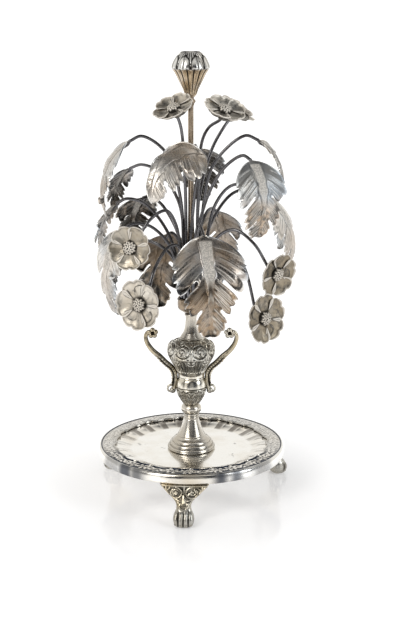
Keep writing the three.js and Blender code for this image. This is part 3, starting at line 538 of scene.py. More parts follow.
def silver(name, bright, brown, black, gloss, patches=90.0, scratch=0.15, cool_reflection=None, frost=FROST):
    """Silver with brown tarnish in patches, soot in blotches, matt frosted places, black hollows and
    punched grains. The brown patches also stand for painted brown reflections, and a bluish tint in
    some patches is a painted reflection. Where the pieces ask for it, the frosted colour is a painted
    sheen and the black a painted shade. patches is how many come to a metre."""
    material, tree, shader = new_material(name)
    link = tree.links.new
    # Brown patches: tarnish, and painted brown reflections as well.
    patch = ranged(tree, noise(tree, patches, 4.0, 0.6), 0.3, 0.7, -0.3, 0.3)
    warm = combine(tree, "ADD", painted(tree, "warm"), patch)
    # Bluish patches, a painted reflection.
    if cool_reflection:
        tint = ranged(tree, noise(tree, patches * 0.6, 2.0), 0.42, 0.6)
        bright = mix_colour(tree, tint, bright, cool_reflection)
    colour = mix_colour(tree, ranged(tree, warm, 0.0, 1.0), bright, brown)
    blotch = noise(tree, patches * 2.3, 5.0, 0.65)
    dark = combine(tree, "ADD", combine(tree, "MULTIPLY", painted(tree, "dark"), 0.6), blotch)
    colour = mix_colour(tree, ranged(tree, dark, 0.64, 0.82), colour, SOOT)
    # Matt frosted colour, partly a painted sheen.
    satin = painted(tree, "satin")
    colour = mix_colour(tree, satin, colour, frost)
    voronoi = add_node(tree, "ShaderNodeTexVoronoi", Scale=GRAINS_PER_METRE)
    place = add_node(tree, "ShaderNodeTexCoord")
    link(place.outputs["Object"], voronoi.inputs["Vector"])
    dots = ranged(tree, voronoi.outputs["Distance"], 0.25, 0.6)
    grain = combine(tree, "MULTIPLY", dots, painted(tree, "grain"))
    # Black in the hollows, and painted shade where the pieces ask for it.
    recess = combine(tree, "MAXIMUM", painted(tree, "recess"),
                     combine(tree, "MULTIPLY", grain, 0.85))
    colour = mix_colour(tree, recess, colour, black)
    link(colour, shader.inputs["Base Color"])
    link(ranged(tree, satin, 0.0, 1.0, 1.0, 0.2), shader.inputs["Metallic"])
    rough = ranged(tree, noise(tree, 900.0), 0.3, 0.7, gloss, gloss + 0.12)
    rough = combine(tree, "ADD", rough, combine(tree, "MULTIPLY", recess, 0.25),
                    combine(tree, "MULTIPLY", satin, 0.3))
    link(rough, shader.inputs["Roughness"])
    wave = combine(tree, "MULTIPLY", noise(tree, SCRATCHES_PER_METRE, 2.0), scratch)
    bump = add_node(tree, "ShaderNodeBump", Strength=0.55, Distance=0.0004)
    link(combine(tree, "SUBTRACT", wave, grain), bump.inputs["Height"])
    link(bump.outputs["Normal"], shader.inputs["Normal"])
    return material


POLISHED = silver("polished_silver", (0.9, 0.89, 0.86), (0.70, 0.63, 0.52), (0.12, 0.1, 0.08),
                  0.07, 60.0, scratch=0.05)
SPUN = silver("spun_silver", (0.8, 0.79, 0.76), (0.56, 0.49, 0.38), (0.1, 0.085, 0.07),
              0.15, 60.0, scratch=0.05)
CHASED = silver("chased_silver", (0.86, 0.85, 0.8), (0.52, 0.44, 0.3), (0.014, 0.012, 0.008), 0.11)
RIM = silver("rim_silver", (0.84, 0.83, 0.8), (0.62, 0.55, 0.44), (0.022, 0.03, 0.05), 0.1, 40.0,
             frost=(0.9, 0.87, 0.82))
LEAF = silver("leaf_silver", (0.80, 0.79, 0.76), (0.40, 0.29, 0.19), (0.03, 0.028, 0.025),
              0.14, 70.0, cool_reflection=(0.52, 0.57, 0.62))
FLOWER = silver("flower_silver", (0.86, 0.82, 0.74), (0.38, 0.31, 0.21), (0.02, 0.017, 0.013), 0.22)
WIRE = silver("dark_wire", (0.13, 0.128, 0.135), (0.11, 0.085, 0.065), (0.01, 0.01, 0.011),
              0.12, 150.0)
ROD = silver("warm_rod", (0.4, 0.33, 0.26), (0.2, 0.145, 0.09), (0.02, 0.017, 0.013), 0.2)
BUD = silver("warm_bud", (0.74, 0.73, 0.7), (0.48, 0.37, 0.24), (0.015, 0.013, 0.01), 0.15)


# Wires

WIRE_STEPS = 10
WIRE_SIDES = 12
TAIL_SHARES = (0.03, 0.08, 0.14)
TAIL_DEPTH = 1.2
TAIL_R = 0.35


def level_z(level):
    return CUP_FLOOR_Z + level * ROD_LENGTH


def flower_centre(spray):
    radius, level = spray["centre"]
    return polar(spray["bearing"], radius, level_z(level)) + AXIS


def wire_points(spray):
    """Control points of a spray's wire, from the floor of the cup to its end."""
    slots, first_bearing, ring_r = RINGS[spray["ring"]]
    slot = first_bearing + 360 / slots * spray["slot"]
    points = [polar(slot, ring_r, STEM_FOOT_Z), polar(slot, ring_r, CUP_TOP_Z + CUT_MARGIN)]
    for radius, level, *turn in spray["path"]:
        points.append(polar(turn[0] if turn else spray["bearing"], radius, level_z(level)))
    points = [point + AXIS for point in points]
    if spray["kind"] == "flower":
        normal = direction(*spray["facing"])
        for behind in (FLOWER_APPROACH, PETAL_THICKNESS + GAP + WIRE_R / 2):
            points.append(flower_centre(spray) - normal * behind)
    return points


def make_wire(spray):
    """The wire, drawn out a little at its end, where it is soldered under its leaf."""
    line = smooth_curve(wire_points(spray), WIRE_STEPS)
    radii = np.full(len(line), WIRE_R)
    if spray["kind"] == "leaf":
        surface = LeafSurface(spray)
        under = [surface.rib(share)[0] - surface.rib(share)[1] * TAIL_DEPTH for share in TAIL_SHARES]
        tail = smooth_curve([line[-1], *under], 5)[1:]
        line = np.concatenate([line, tail])
        radii = np.concatenate([radii, np.linspace(WIRE_R, TAIL_R, len(tail))])
    shape = Shape()
    shape.add_tube(tube_rings(line, radii, WIRE_SIDES))
    name = "wire_" + spray["name"]
    shape.place(name + "_drawn", name, "bouquet", "dark_wire", WIRE)


# Leaves

# Half outline of a leaf, as stretches from corner to corner: where the vein to the stretch's end
# leaves the rib, how many engraved lines run out to it, and its points after the last corner as
# (along, across) in shares of the length and of the half width.
LEAF_START = (0, 0.04)
LEAF_EDGE = [
    (0.14, 2, [(0.015, 0.1), (0.04, 0.28), (0.09, 0.52), (0.16, 0.75), (0.24, 0.91), (0.32, 0.98)]),
    (0.15, 0, [(0.342, 0.87)]),
    (0.22, 1, [(0.375, 0.96), (0.43, 1.0), (0.46, 0.98)]),
    (0.23, 0, [(0.458, 0.84)]),
    (0.3, 2, [(0.505, 0.91), (0.55, 0.9), (0.575, 0.84)]),
    (0.4, 4, [(0.555, 0.72), (0.505, 0.56), (0.462, 0.44), (0.452, 0.37), (0.468, 0.325),
              (0.497, 0.33), (0.525, 0.42), (0.56, 0.54), (0.6, 0.645), (0.64, 0.715)]),
    (0.41, 1, [(0.65, 0.6)]),
    (0.46, 3, [(0.69, 0.68), (0.73, 0.715)]),
    (0.47, 1, [(0.735, 0.58)]),
    (0.52, 3, [(0.78, 0.64), (0.82, 0.61)]),
    (0.66, 4, [(0.795, 0.51), (0.755, 0.39), (0.722, 0.31), (0.717, 0.265), (0.733, 0.235),
               (0.757, 0.255), (0.785, 0.32), (0.82, 0.385), (0.85, 0.42)]),
    (0.68, 1, [(0.855, 0.35)]),
    (0.76, 3, [(0.895, 0.37), (0.925, 0.335)]),
    (0.78, 1, [(0.925, 0.265)]),
    (1.0, 2, [(0.96, 0.22), (0.99, 0.1), (1.0, 0.03)]),
]
EDGE_SCALE = np.array([1.0, 0.34])
EDGE_SPACING = 0.008
NARROW_REACH = 0.5
# Lobes between shares of the rib, and how far each swells
LOBES = [(0.0, 0.36, 3.0), (0.36, 0.6, 1.7), (0.6, 1.0, 0.9)]
VEIN_BENDS = [(0.0, 1.35), (0.3, 1.35), (0.42, 0.8), (1.0, 0.8)]
VEIN_HALF_WIDTH = 0.42
ROW_SPACING = (0.24, 0.52)
LEAF_CUP = 0.22
LEAF_SHEET = 0.6
TIP_CURL = 50.0
STALK_HALF_WIDTH = 1.2
# Half width of the band beside the rib, at shares of the length
BAND_PROFILE = [(0.0, 1.2), (0.07, 4.4), (0.14, 4.5), (0.3, 4.1), (0.5, 3.9), (0.68, 2.2),
                (0.9, 1.0), (1.0, 0.6)]
# Columns across the band in shares of its half width, each with its relief
BAND_COLUMNS = [(0.0, 0.16), (0.3, 0.16), (0.6, 0.16), (0.82, 0.18), (0.94, 0.3), (1.02, 0.2),
                (1.12, -0.08), (1.28, 0.0)]
BLADE_COLUMNS = 15
REFERENCE_WIDTH = 44.0


def leaf_edge():
    """The outline's rows: along, across and rib shares, and the row of each engraved line."""
    along, across, rib, veins = [], [], [], []
    start, last_rib = LEAF_START, 0.0
    for end_rib, lines, points in LEAF_EDGE:
        points = np.array([start, *points], float)
        line = by_length(smooth_curve(points * EDGE_SCALE, 8), EDGE_SPACING) / EDGE_SCALE
        skip = 1 if along else 0
        veins += [len(along) + (number + 0.6) / lines * len(line) for number in range(lines)]
        along.extend(line[skip:, 0])
        across.extend(line[skip:, 1])
        rib.extend(np.linspace(last_rib, end_rib, len(line))[skip:])
        start, last_rib = points[-1], end_rib
    return np.array(along), np.array(across), np.array(rib), veins


EDGE_ALONG, EDGE_ACROSS, EDGE_RIB, VEINS = leaf_edge()


def half_outline(teeth, narrow):
    """Along and across shares of one half's edge; teeth below 1 soften it, and a half that is
    narrow has a plain bow."""
    along, across = EDGE_ALONG, EDGE_ACROSS
    if narrow:
        along = EDGE_RIB + 0.1 * np.sin(math.pi * EDGE_RIB)
        across = np.sin(math.pi * EDGE_RIB ** 0.7) ** 0.8
    softened = [blur(line[:, None], 12)[:, 0] * (1 - teeth) + line * teeth
                for line in (along, across)]
    return softened


def vein_lines(share, start, rng):
    """Engraved lines from the band towards the edge: each point's share of a groove and of the
    crest beside it. The crest is a raised ridge that is also painted lighter, a sheen."""
    row = np.arange(len(EDGE_RIB))[:, None]
    groove, crest = np.zeros(share.shape), np.zeros(share.shape)
    spacing = ROW_SPACING[0] + (ROW_SPACING[1] - ROW_SPACING[0]) * share
    for vein in VEINS:
        first, last = rng.uniform(-0.1, 0.2), rng.uniform(0.75, 1.05)
        run = rng.uniform(0.55, 1.0) * smoothstep(first, first + 0.12, share - start)
        run = run * smoothstep(last, last - 0.15, share)
        gap = (row - vein + 1.5 * np.sin(3 * share)) * spacing / VEIN_HALF_WIDTH
        groove = np.maximum(groove, run * bell(gap, 1))
        crest = np.maximum(crest, run * bell(gap - 1.7, 1))
    return groove, crest


class LeafSurface:
    """Where a leaf's surface lies: the rib bends evenly in the upright plane of its heading, and
    more at its tip."""

    RIB_STEPS = 200

    def __init__(self, spray):
        heading = spray["heading"]
        first, last = spray["pitch"]
        start = wire_points(spray)[-1] + direction(heading, first) * (GAP + PETAL_THICKNESS / 2)
        self.shares = np.linspace(0, 1, self.RIB_STEPS + 1)
        curl = TIP_CURL * np.clip((self.shares - 0.9) / 0.1, 0, 1) ** 2
        pitches = first + (last - first) * self.shares - curl
        middles = (pitches[1:] + pitches[:-1]) / 2
        steps = np.array([direction(heading, pitch) for pitch in middles])
        run = np.concatenate([np.zeros((1, 3)), np.cumsum(steps, axis=0)])
        self.points = start + run * spray["length"] / self.RIB_STEPS
        upright = np.array([direction(heading, pitch + 90) for pitch in pitches])
        level = polar(heading + 90, 1)
        roll = math.radians(spray["roll"])
        self.outward = upright * math.cos(roll) + level * math.sin(roll)
        self.sideways = level * math.cos(roll) - upright * math.sin(roll)

    def rib(self, share):
        """Rib point, outward and sideways direction at a share of the length."""
        def at(table):
            return np.stack([np.interp(share, self.shares, column) for column in table.T], axis=-1)
        return at(self.points), at(self.outward), at(self.sideways)


def blade_lift(spray, size, share, rng):
    """How far the lobes and two slow waves stand off the flat blade."""
    lift = np.zeros(share.shape)
    for low, high, swell in LOBES:
        local = np.clip((EDGE_RIB - low) / (high - low), 0, 1)
        inside = (EDGE_RIB >= low) & (EDGE_RIB <= high)
        bow = (inside * np.sin(math.pi * local) ** 0.9)[:, None]
        lift += bow * share ** 1.6 * swell * size * spray["swell"]
    for _ in range(2):
        turns, phase, height = rng.uniform(1, 3.5), rng.uniform(0, 6.3), rng.uniform(0.15, 0.5)
        wave = np.sin(2 * math.pi * turns * EDGE_RIB + phase)[:, None]
        lift += height * size * wave * share ** 2
    return lift


def curl_edges(spray, side, share, run, lift):
    """Rolls the edge at the leaf's curls; run is each row's length. Gives the share that each
    point is laid at, its lift and how far it is bent."""
    laid, bent = share.copy(), np.zeros(share.shape)
    for curl in spray["curls"]:
        if curl["side"] != side:
            continue
        weight = bell(EDGE_RIB - curl["rib"], curl["spread"])[:, None]
        curve = np.maximum(weight / curl["radius"], 1e-6)
        past = np.maximum(share - curl["start"], 0) * run
        angle = curve * past
        laid = np.where(past > 0, curl["start"] + np.sin(angle) / curve / run, laid)
        lift = lift + np.where(past > 0, (1 - np.cos(angle)) / curve, 0) * curl["towards"]
        bent = np.maximum(bent, np.clip(angle, 0, 1.5))
    return laid, lift, bent


def leaf_side(spray, surface, side, rng):
    """One half of a leaf's middle surface with its relief, and its painted values."""
    right = int(side > 0)
    reach = spray["sides"][right]
    half_width = spray["width"] / 2
    size = spray["width"] / REFERENCE_WIDTH
    edge_along, edge_across = half_outline(spray["teeth"], reach < NARROW_REACH)
    edge = np.maximum(edge_across * (half_width * reach), STALK_HALF_WIDTH * (1 - 0.6 * EDGE_RIB))
    band = np.interp(edge_along, *np.array(BAND_PROFILE).T) * min(size * 1.05, 1.0)
    band = np.minimum(band, edge * 0.55)
    columns, band_relief = np.array(BAND_COLUMNS).T
    inner = band[:, None] * columns
    outer_share = np.linspace(0, 1, BLADE_COLUMNS + 1)[1:]
    outer = inner[:, -1:] + (edge[:, None] - inner[:, -1:]) * outer_share
    distance = np.concatenate([inner, outer], axis=1)
    relief = np.pad(np.broadcast_to(band_relief, inner.shape), ((0, 0), (0, BLADE_COLUMNS)))
    relief = relief * np.clip(band[:, None] / 1.6, 0, 1)
    share = distance / edge[:, None]
    run = np.hypot(edge, (edge_along - EDGE_RIB) * spray["length"])[:, None]
    lift = blade_lift(spray, size, share, rng)
    laid, lift, bent = curl_edges(spray, side, share, run, lift)

    bend = np.interp(EDGE_RIB, *np.array(VEIN_BENDS).T)[:, None]
    along = EDGE_RIB[:, None] + (edge_along - EDGE_RIB)[:, None] * np.clip(laid, 0, 9) ** bend
    across = laid * edge[:, None]
    cup = LEAF_CUP * half_width * (across / half_width) ** 2
    # The lip is the raised edge; it is painted lighter as a highlight, with less brown, soot and
    # shade.
    lip = smoothstep(0.91, 0.97, share)
    engraved = [lines * spray["veins"][right] * (1 - lip)
                for lines in vein_lines(share, (band / edge)[:, None] * 1.3, rng)]
    groove, crest = engraved
    relief = relief + (0.16 * crest - 0.22 * groove + 0.25 * lip) * size
    point, outward, sideways = surface.rib(np.clip(along, 0, 1))
    middle = point + sideways * (side * across)[..., None]
    middle = middle + outward * (relief + lift - cup)[..., None]

    low = smoothstep(0.38, 0.66, along)
    # An even painted shade over the leaf, from its base to its tip.
    warm, dark, tone = (spray[key][0] + (spray[key][1] - spray[key][0]) * low
                        for key in ("warm", "dark", "tone"))
    grain = smoothstep(0.08, 0.14, edge_along) * smoothstep(0.85, 0.6, edge_along)
    in_band = distance <= band[:, None] * 0.9
    grain = np.clip(in_band * grain[:, None] * spray["grain"], 0, 1)
    border = bell(distance / band[:, None] - 1.14, 0.1)
    # The painted shade is lifted on the band's grains, the crests and the lip.
    tone = tone * (1 - 0.8 * np.clip(grain + crest + lip, 0, 1))
    # Painted shade where the edge rolls over at the curls and on the curled tip, as more soot.
    dark = dark + 0.3 * bent + 0.6 * smoothstep(0.93, 1.0, along)
    # A dark line of painted shade runs just inside the lip.
    recess = highest(groove * 0.95, border * 0.75, tone, 0.45 * bell(share - 0.87, 0.045))
    # The crests beside the engraved lines are painted lighter as a sheen.
    return middle, {"recess": recess, "grain": 0.6 * grain, "warm": warm * (1 - 0.6 * lip),
                    "dark": dark * (1 - 0.7 * lip),
                    "satin": highest(grain, spray["satin"], 0.8 * crest)}


def make_leaf(spray, seed):
    surface = LeafSurface(spray)
    rng = np.random.default_rng(seed)
    right, right_values = leaf_side(spray, surface, 1, rng)
    left, left_values = leaf_side(spray, surface, -1, rng)
    middle = np.concatenate([left[:, :0:-1], right], axis=1)
    values = {key: np.concatenate([left_values[key][:, :0:-1], right_values[key]], axis=1)
              for key in right_values}
    normals = grid_normals(middle, False, surface.rib(EDGE_RIB)[1][:, None])
    shape = Shape()
    shape.add_sheet(middle + normals * LEAF_SHEET / 2, middle - normals * LEAF_SHEET / 2, **values)
    shape.place(spray["name"] + "_chased", spray["name"], "bouquet", "leaf_silver", LEAF, 50)


# Flowers

PETAL_COUNT = 5
PETAL_ROWS = 24
PETAL_COLUMNS = 27
PETAL_SHEET = 0.5
# Shares of the flower's radius
PETAL_ROOT = 0.18
PETAL_ROOT_HALF_WIDTH = 0.19
PETAL_WIDEST = 0.63
PETAL_HALF_WIDTH = 0.525
# Layers of petals: share of the radius, turn in degrees, depth below the face, and shade
PETAL_LAYERS = [(0.78, 36, 1.9, 0.7), (1.0, 0, 0.0, 0.0)]
BUTTON_R = 4.3
BUTTON_HEIGHT = 2.4
BUTTON_DOTS = 30
BUTTON_DOT_R = 0.76
SUNFLOWER_TURN = 2.39996


def petal_surface(radius, tone, rng):
    """A petal in the flower's own frame: x outward, y across, z towards the face. Its rim is
    raised round a dished middle and painted bright as a highlight, with dark lines of painted shade
    inside the rim and along its sides, painted shade at its root and an even painted shade away
    from the rim."""
    out = np.linspace(0, 1, PETAL_ROWS)[:, None]
    across = np.linspace(-1, 1, PETAL_COLUMNS)[None, :]
    across = np.sin(across * math.pi / 2) * 0.6 + across * 0.4
    beside = np.abs(across)
    widest = PETAL_HALF_WIDTH * rng.uniform(0.94, 1.06)
    width = PETAL_ROOT_HALF_WIDTH + (widest - PETAL_ROOT_HALF_WIDTH) * smoothstep(0.0, 0.85, out)
    notch = 0.08 * bell(across - rng.uniform(-0.3, 0.3), 0.16)
    end = PETAL_WIDEST + (1 - PETAL_WIDEST) * np.sqrt(np.clip(1 - across ** 2, 0, 1)) - notch
    x = radius * (PETAL_ROOT + (end - PETAL_ROOT) * out)
    closeness = np.maximum(beside, out ** 1.5)
    rim = smoothstep(0.86, 0.93, closeness) * smoothstep(0.05, 0.25, out)
    crease = bell(across, 0.07) * smoothstep(0.75, 0.3, out)
    dish = np.sin(math.pi * np.clip(out * 1.02, 0, 1)) ** 0.8
    height = 0.13 * radius * (x / radius) ** 1.7
    height = height - 0.9 * smoothstep(0.9, 0.3, beside) * dish + 0.7 * rim
    height = height + rng.uniform(0.2, 0.5) * across * out + rng.uniform(-0.6, 0.6) * out
    height = height - 0.12 * crease
    # Painted shade: a line inside the rim, the root, the gaps along the sides and an even shade away
    # from the rim. The crease down the middle is darker as well.
    inner_shade_line = 0.42 * smoothstep(0.74, 0.84, closeness) * (1 - rim) * smoothstep(0.08, 0.3, out)
    recess = highest(inner_shade_line, 0.9 * smoothstep(0.3, 0.1, out), 0.4 * crease, tone * (1 - rim),
                     0.95 * smoothstep(0.97, 1.0, beside) * smoothstep(0.95, 0.6, out))
    grid = np.stack([x, across * (radius * width), height], axis=-1)
    # The last value is the rim's painted highlight.
    return grid, recess, 0.7 * rim * smoothstep(0.5, 0.0, recess)


def button_dome():
    """A low dome covered with grains in a sunflower spiral, and its recess."""
    rows, columns = 20, 72
    share = np.linspace(1, 0.02, rows)[:, None]
    turn = np.linspace(0, 2 * math.pi, columns, endpoint=False)[None, :]
    x = BUTTON_R * share * np.cos(turn)
    y = BUTTON_R * share * np.sin(turn)
    dome = BUTTON_HEIGHT * np.sqrt(np.clip(1 - 0.9 * share ** 2, 0, 1)) + 0 * turn
    grains = np.zeros((rows, columns))
    for index in range(BUTTON_DOTS):
        reach = BUTTON_R * 0.93 * math.sqrt((index + 0.5) / BUTTON_DOTS)
        angle = index * SUNFLOWER_TURN
        gap = np.hypot(x - reach * math.cos(angle), y - reach * math.sin(angle))
        grains = np.maximum(grains, np.sqrt(np.clip(1 - (gap / BUTTON_DOT_R) ** 2, 0, 1)))
    return np.stack([x, y, dome + grains * 0.6], axis=-1), 1 - smoothstep(0.35, 0.85, grains)


def make_flower(spray):
    radius = spray["size"] / 2
    centre = flower_centre(spray)
    normal = direction(*spray["facing"])
    sideways = polar(spray["facing"][0] + 90, 1)
    upward = np.cross(normal, sideways)
    rng = np.random.default_rng(spray["size"] + spray["spin"])
    shape = Shape()
    for reach, offset, below, shade in PETAL_LAYERS:
        for index in range(PETAL_COUNT):
            angle = math.radians(spray["spin"] + offset + 360 / PETAL_COUNT * index)
            out = sideways * math.cos(angle) + upward * math.sin(angle)
            side = upward * math.cos(angle) - sideways * math.sin(angle)
            grid, recess, satin = petal_surface(radius * reach, spray["tone"], rng)
            local = grid[..., :1] * out + grid[..., 1:2] * side + (grid[..., 2:] - below) * normal
            face = centre + local
            back = face - grid_normals(local, False, normal) * PETAL_SHEET
            # The lower layer is painted in shade, and the rim's painted highlight takes off some
            # brown.
            shape.add_sheet(face, back, recess=np.maximum(recess, shade), dark=spray["dark"],
                            warm=spray["warm"] * (1 - 0.6 * satin),
                            satin=np.clip(satin * (1 - shade) + spray["satin"], 0, 1))
    dome, recess = button_dome()
    flat = dome[..., :1] * sideways + dome[..., 1:2] * upward
    base = centre + flat[:1] - normal * 0.6
    rings = np.concatenate([base, centre + flat + dome[..., 2:] * normal])
    recess = np.pad(recess, ((1, 0), (0, 0)), constant_values=1.0)
    shape.add_tube(rings, recess=recess, warm=spray["warm"] * 0.4 + 0.3, satin=0.6)
    shape.place(spray["name"] + "_petals", spray["name"], "bouquet", "flower_silver", FLOWER, 50)


for number, spray in enumerate(SPRAYS):
    make_wire(spray)
    if spray["kind"] == "leaf":
        make_leaf(spray, number + 1)
    else:
        make_flower(spray)


# Turned pieces

TURNED_COLUMNS = 96
PROFILE_SPACING = 0.45


def place_turned(node, body, points, slot_name, material, columns=TURNED_COLUMNS, **values):
    """A plain turned piece; heights count from the bottom of its node."""
    grid = turned_grid(profile_line(points, PROFILE_SPACING, node_box(node)[0][2]), columns)
    shape = Shape()
    shape.add(grid, closed_ring(len(grid), columns), **values)
    shape.place(node + "_turned", node, body, slot_name, material)


def make_pedestal():
    """Stud, stepped foot, cone and collar, with the spigot that carries the vase."""
    stud, top, spigot = 6.3, 29.4, 9.3
    outline = [(0, 0), None, (2, 0), None, (2, stud), None, (14.9, stud), (15.2, stud + 0.5),
               (15.1, stud + 1.5), (14.6, stud + 2.2), None, (14.2, stud + 2.3), None,
               (14.1, stud + 2.7), (13.7, stud + 3.9), (13.2, stud + 4.5), None,
               (12.7, stud + 4.6), (12.3, stud + 4.9), (12.3, stud + 5.4), (11.7, stud + 6.3),
               (11.1, stud + 6.9), None, (10.6, stud + 7.0), (10.1, stud + 7.6),
               (9.6, stud + 8.1), (9.4, stud + 8.5), None, (8.9, stud + 8.7), (8.1, stud + 10.2),
               (7.0, stud + 12.8), (6.0, stud + 15.6), (5.2, stud + 18.2), (4.8, stud + 19.6),
               None, (4.4, stud + 19.9), (4.4, stud + 20.3), None, (4.9, stud + 20.6),
               (5.1, stud + 21.1), (4.9, stud + 21.6), None, (4.5, stud + 21.8), None,
               (4.8, stud + 22.2), (4.8, top), None, (2.6, top), None, (2.6, top + spigot), None,
               (0, top + spigot)]
    place_turned("pedestal_foot", "stand", outline, "polished_silver", SPUN, warm=0.5, recess=0.2)


def make_knop():
    outline = [(2.9, 0), None, (4.6, 0), (5.7, 0.8), (6.4, 1.9), (6.6, 3), (6.4, 4.1), (5.7, 5.2),
               (4.6, 6), None, (2.9, 6)]
    place_turned("knop", "stand", outline, "polished_silver", SPUN, warm=0.5, recess=0.15)


def make_neck():
    outline = [(2.6, 0), None, (5.2, 0), None, (5.2, 2), None, (7.0, 2), (7.2, 2.3), (7.0, 2.7),
               None, (6.6, 2.9), (6.7, 3.3), (6.2, 4.1), (5.0, 6), (4.0, 9.4), (3.6, 12.6),
               (3.5, 15), (3.7, 17), None, (4.1, 17.2), (4.2, 17.6), (4.0, 18), None, (2.6, 18)]
    place_turned("vase_neck", "stand", outline, "polished_silver", SPUN, warm=0.5, recess=0.3)


def make_stem_cup():
    outline = [(0, 0), None, (2.3, 0), None, (2.3, 17), None, (3.7, 17), (4.1, 17.4), (5.3, 18.2),
               (7.6, 19.8), (8.3, 20.8), (8.5, 23), (8.3, 25.6), None, (8.58, 25.9), (8.58, 26.6),
               (8.2, 27.2), None, (7.58, 27), None, (7.58, 21.2), None, (0, 21.2)]
    place_turned("stem_cup", "bouquet", outline, "warm_rod", ROD, warm=0.5, dark=0.3)


def make_rod():
    """The middle rod, with the turned ring below the bud and its tenon."""
    top = ROD_LENGTH
    outline = [(0, 0), None, (1.7, 0), (1.7, top * 0.5), (1.7, top - 5), None, (2.1, top - 4.6),
               (2.3, top - 4.1), None, (2.0, top - 3.8), (2.7, top - 3.1), (3.0, top - 2.3),
               (2.7, top - 1.4), (1.9, top - 0.8), None, (2.1, top - 0.4), (2.1, top), None,
               (1.1, top), None, (1.1, top + ROD_TENON_LENGTH), None, (0, top + ROD_TENON_LENGTH)]
    place_turned("centre_rod", "bouquet", outline, "warm_rod", ROD, 40, warm=0.5)


def make_nut():
    """The six-sided nut under the tray, with its corners turned off."""
    low, high = node_box("tray_nut")
    base, thick = low[2], high[2] - low[2]
    bore, chamfer_r, corner_r, columns = 2.3, 3.9, 4.6, 48
    turn = np.linspace(0, 2 * math.pi, columns, endpoint=False)
    sixth = math.pi / 3
    flat = corner_r * math.cos(sixth / 2) / np.cos((turn + sixth / 2) % sixth - sixth / 2)
    rows = [(bore, 0), (chamfer_r, 0), (corner_r, 0.5), (corner_r, thick - 0.5),
            (chamfer_r, thick), (bore, thick)]
    grid = []
    for radius, height in rows:
        reach = np.minimum(flat, radius)
        ring = [reach * np.sin(turn), -reach * np.cos(turn), base + height + 0 * turn]
        grid.append(np.stack(ring, axis=-1))
    shape = Shape()
    shape.add(np.array(grid) + AXIS, closed_ring(len(rows), columns), dark=0.2)
    shape.place("tray_nut_turned", "tray_nut", "stand", "polished_silver", POLISHED, 25)


# Chased turned pieces: the outside carries engraved relief, the inside is a plain shell

CHASED_COLUMNS = 432
HOLLOW_DEPTH = 0.22


def place_chased(node, outside, inside, relief_of, ground_of, **values):
    """outside and inside are profiles. The other shapes run with the climb, a length along the
    outside: relief_of(turn, climb) is the relief at a bearing, ground_of(climb) how dark the
    chased ground is, and each of the values a painted value."""
    base = node_box(node)[0][2]
    outer = profile_line(outside, 0.3, base)
    steps = np.linalg.norm(np.diff(outer, axis=0), axis=1)
    climb = np.concatenate([[0], np.cumsum(steps)])
    turn, climb = np.meshgrid(np.linspace(0, 360, CHASED_COLUMNS, endpoint=False), climb)
    top = climb[-1, 0]
    relief = relief_of(turn, climb)
    relief = relief * (smoothstep(0, 0.8, climb) * smoothstep(top, top - 0.8, climb))
    grid = turned_grid(outer, CHASED_COLUMNS)
    grid = grid + grid_normals(grid, True, (grid - AXIS) * [1, 1, 0]) * relief[..., None]
    lining = turned_grid(profile_line(inside, 1.0, base), CHASED_COLUMNS)
    bare = np.zeros(lining.shape[:2])
    values = {key: np.concatenate([0 * climb + of_climb(climb), bare])
              for key, of_climb in values.items()}
    recess = np.maximum(1.2 * hollows(relief, 6, HOLLOW_DEPTH), 0.28 * ground_of(climb))
    rings = np.concatenate([grid, lining])
    shape = Shape()
    shape.add(rings, closed_ring(len(rings), CHASED_COLUMNS),
              recess=np.concatenate([recess, bare]), **values)
    shape.place(node + "_chased", node, "stand", "chased_silver", CHASED, 60)


def acanthus(foot, length, width, pairs):
    """A leaf of curved veins about a middle rib, as strokes that grow from its foot."""
    x, y = foot
    strokes = [([(x, y), (x, y + length)], 0.65, 0.55)]
    for index in range(pairs):
        start = y + length * (0.06 + 0.62 * index / pairs)
        reach = width / 2 * (1 - 0.5 * index / pairs)
        rise = length * 0.34
        for side in (-1, 1):
            line = [(x, start), (x + side * reach * 0.55, start + rise * 0.35),
                    (x + side * reach, start + rise * 0.95),
                    (x + side * reach * 0.8, start + rise * 1.2)]
            strokes.append((smooth_curve(line, 3), 0.6, 0.5))
    return strokes


def medallion(centre, radius):
    """A round frame with a scroll and a few small leaves inside."""
    strokes = [(arc_line(centre, radius, 0, 360, 26), 0.85, 0.6),
               (arc_line(centre, radius * 0.6, -100, 300, 24, radius * 0.14), 0.7, 0.55)]
    for angle in range(60, 420, 120):
        leaflet = arc_line(centre, radius * 0.65, angle, angle + 20, 4, radius * 0.95)
        strokes.append((leaflet, 0.55, 0.5))
    return strokes


BALL_WIDEST = 14.6
BALL_SECTORS = 8
MEDALLION_R = 4.4
MEDALLION_CLIMB = 20.6
BOWL_WIDEST = 9.7
BOWL_SECTORS = 6


def ball_relief(turn, climb):
    """Medallions side by side on low bosses, leaves between them, ribs below and lobes above."""
    x = wrapped(turn + 180 / BALL_SECTORS, BALL_SECTORS) * math.radians(1) * BALL_WIDEST
    sector = 2 * math.pi * BALL_WIDEST / BALL_SECTORS
    strokes = medallion((0, MEDALLION_CLIMB), MEDALLION_R)
    for edge in (-sector / 2, sector / 2):
        strokes += acanthus((edge, 10.4), 6.4, 6.0, 2)
        strokes.append(([(edge, 16.6), (edge, 24.2)], 0.8, 0.55))
    for foot in np.arange(-2, 3) * sector / 4:
        strokes.append(([(foot * 0.9, 5.0), (foot, 10.0), (foot * 0.9, 13.6)], 0.6, 0.5))
    for foot in np.arange(-3, 4) * sector / 6:
        strokes.append(([(foot, 26.2), (foot * 0.75, 29.6)], 0.65, 0.5))
    boss = np.clip(1 - (np.hypot(x, climb - MEDALLION_CLIMB) / MEDALLION_R) ** 2, 0, 1)
    return 0.8 * np.sqrt(boss) - stack_ridges(np.stack([x, climb], axis=-1), strokes)


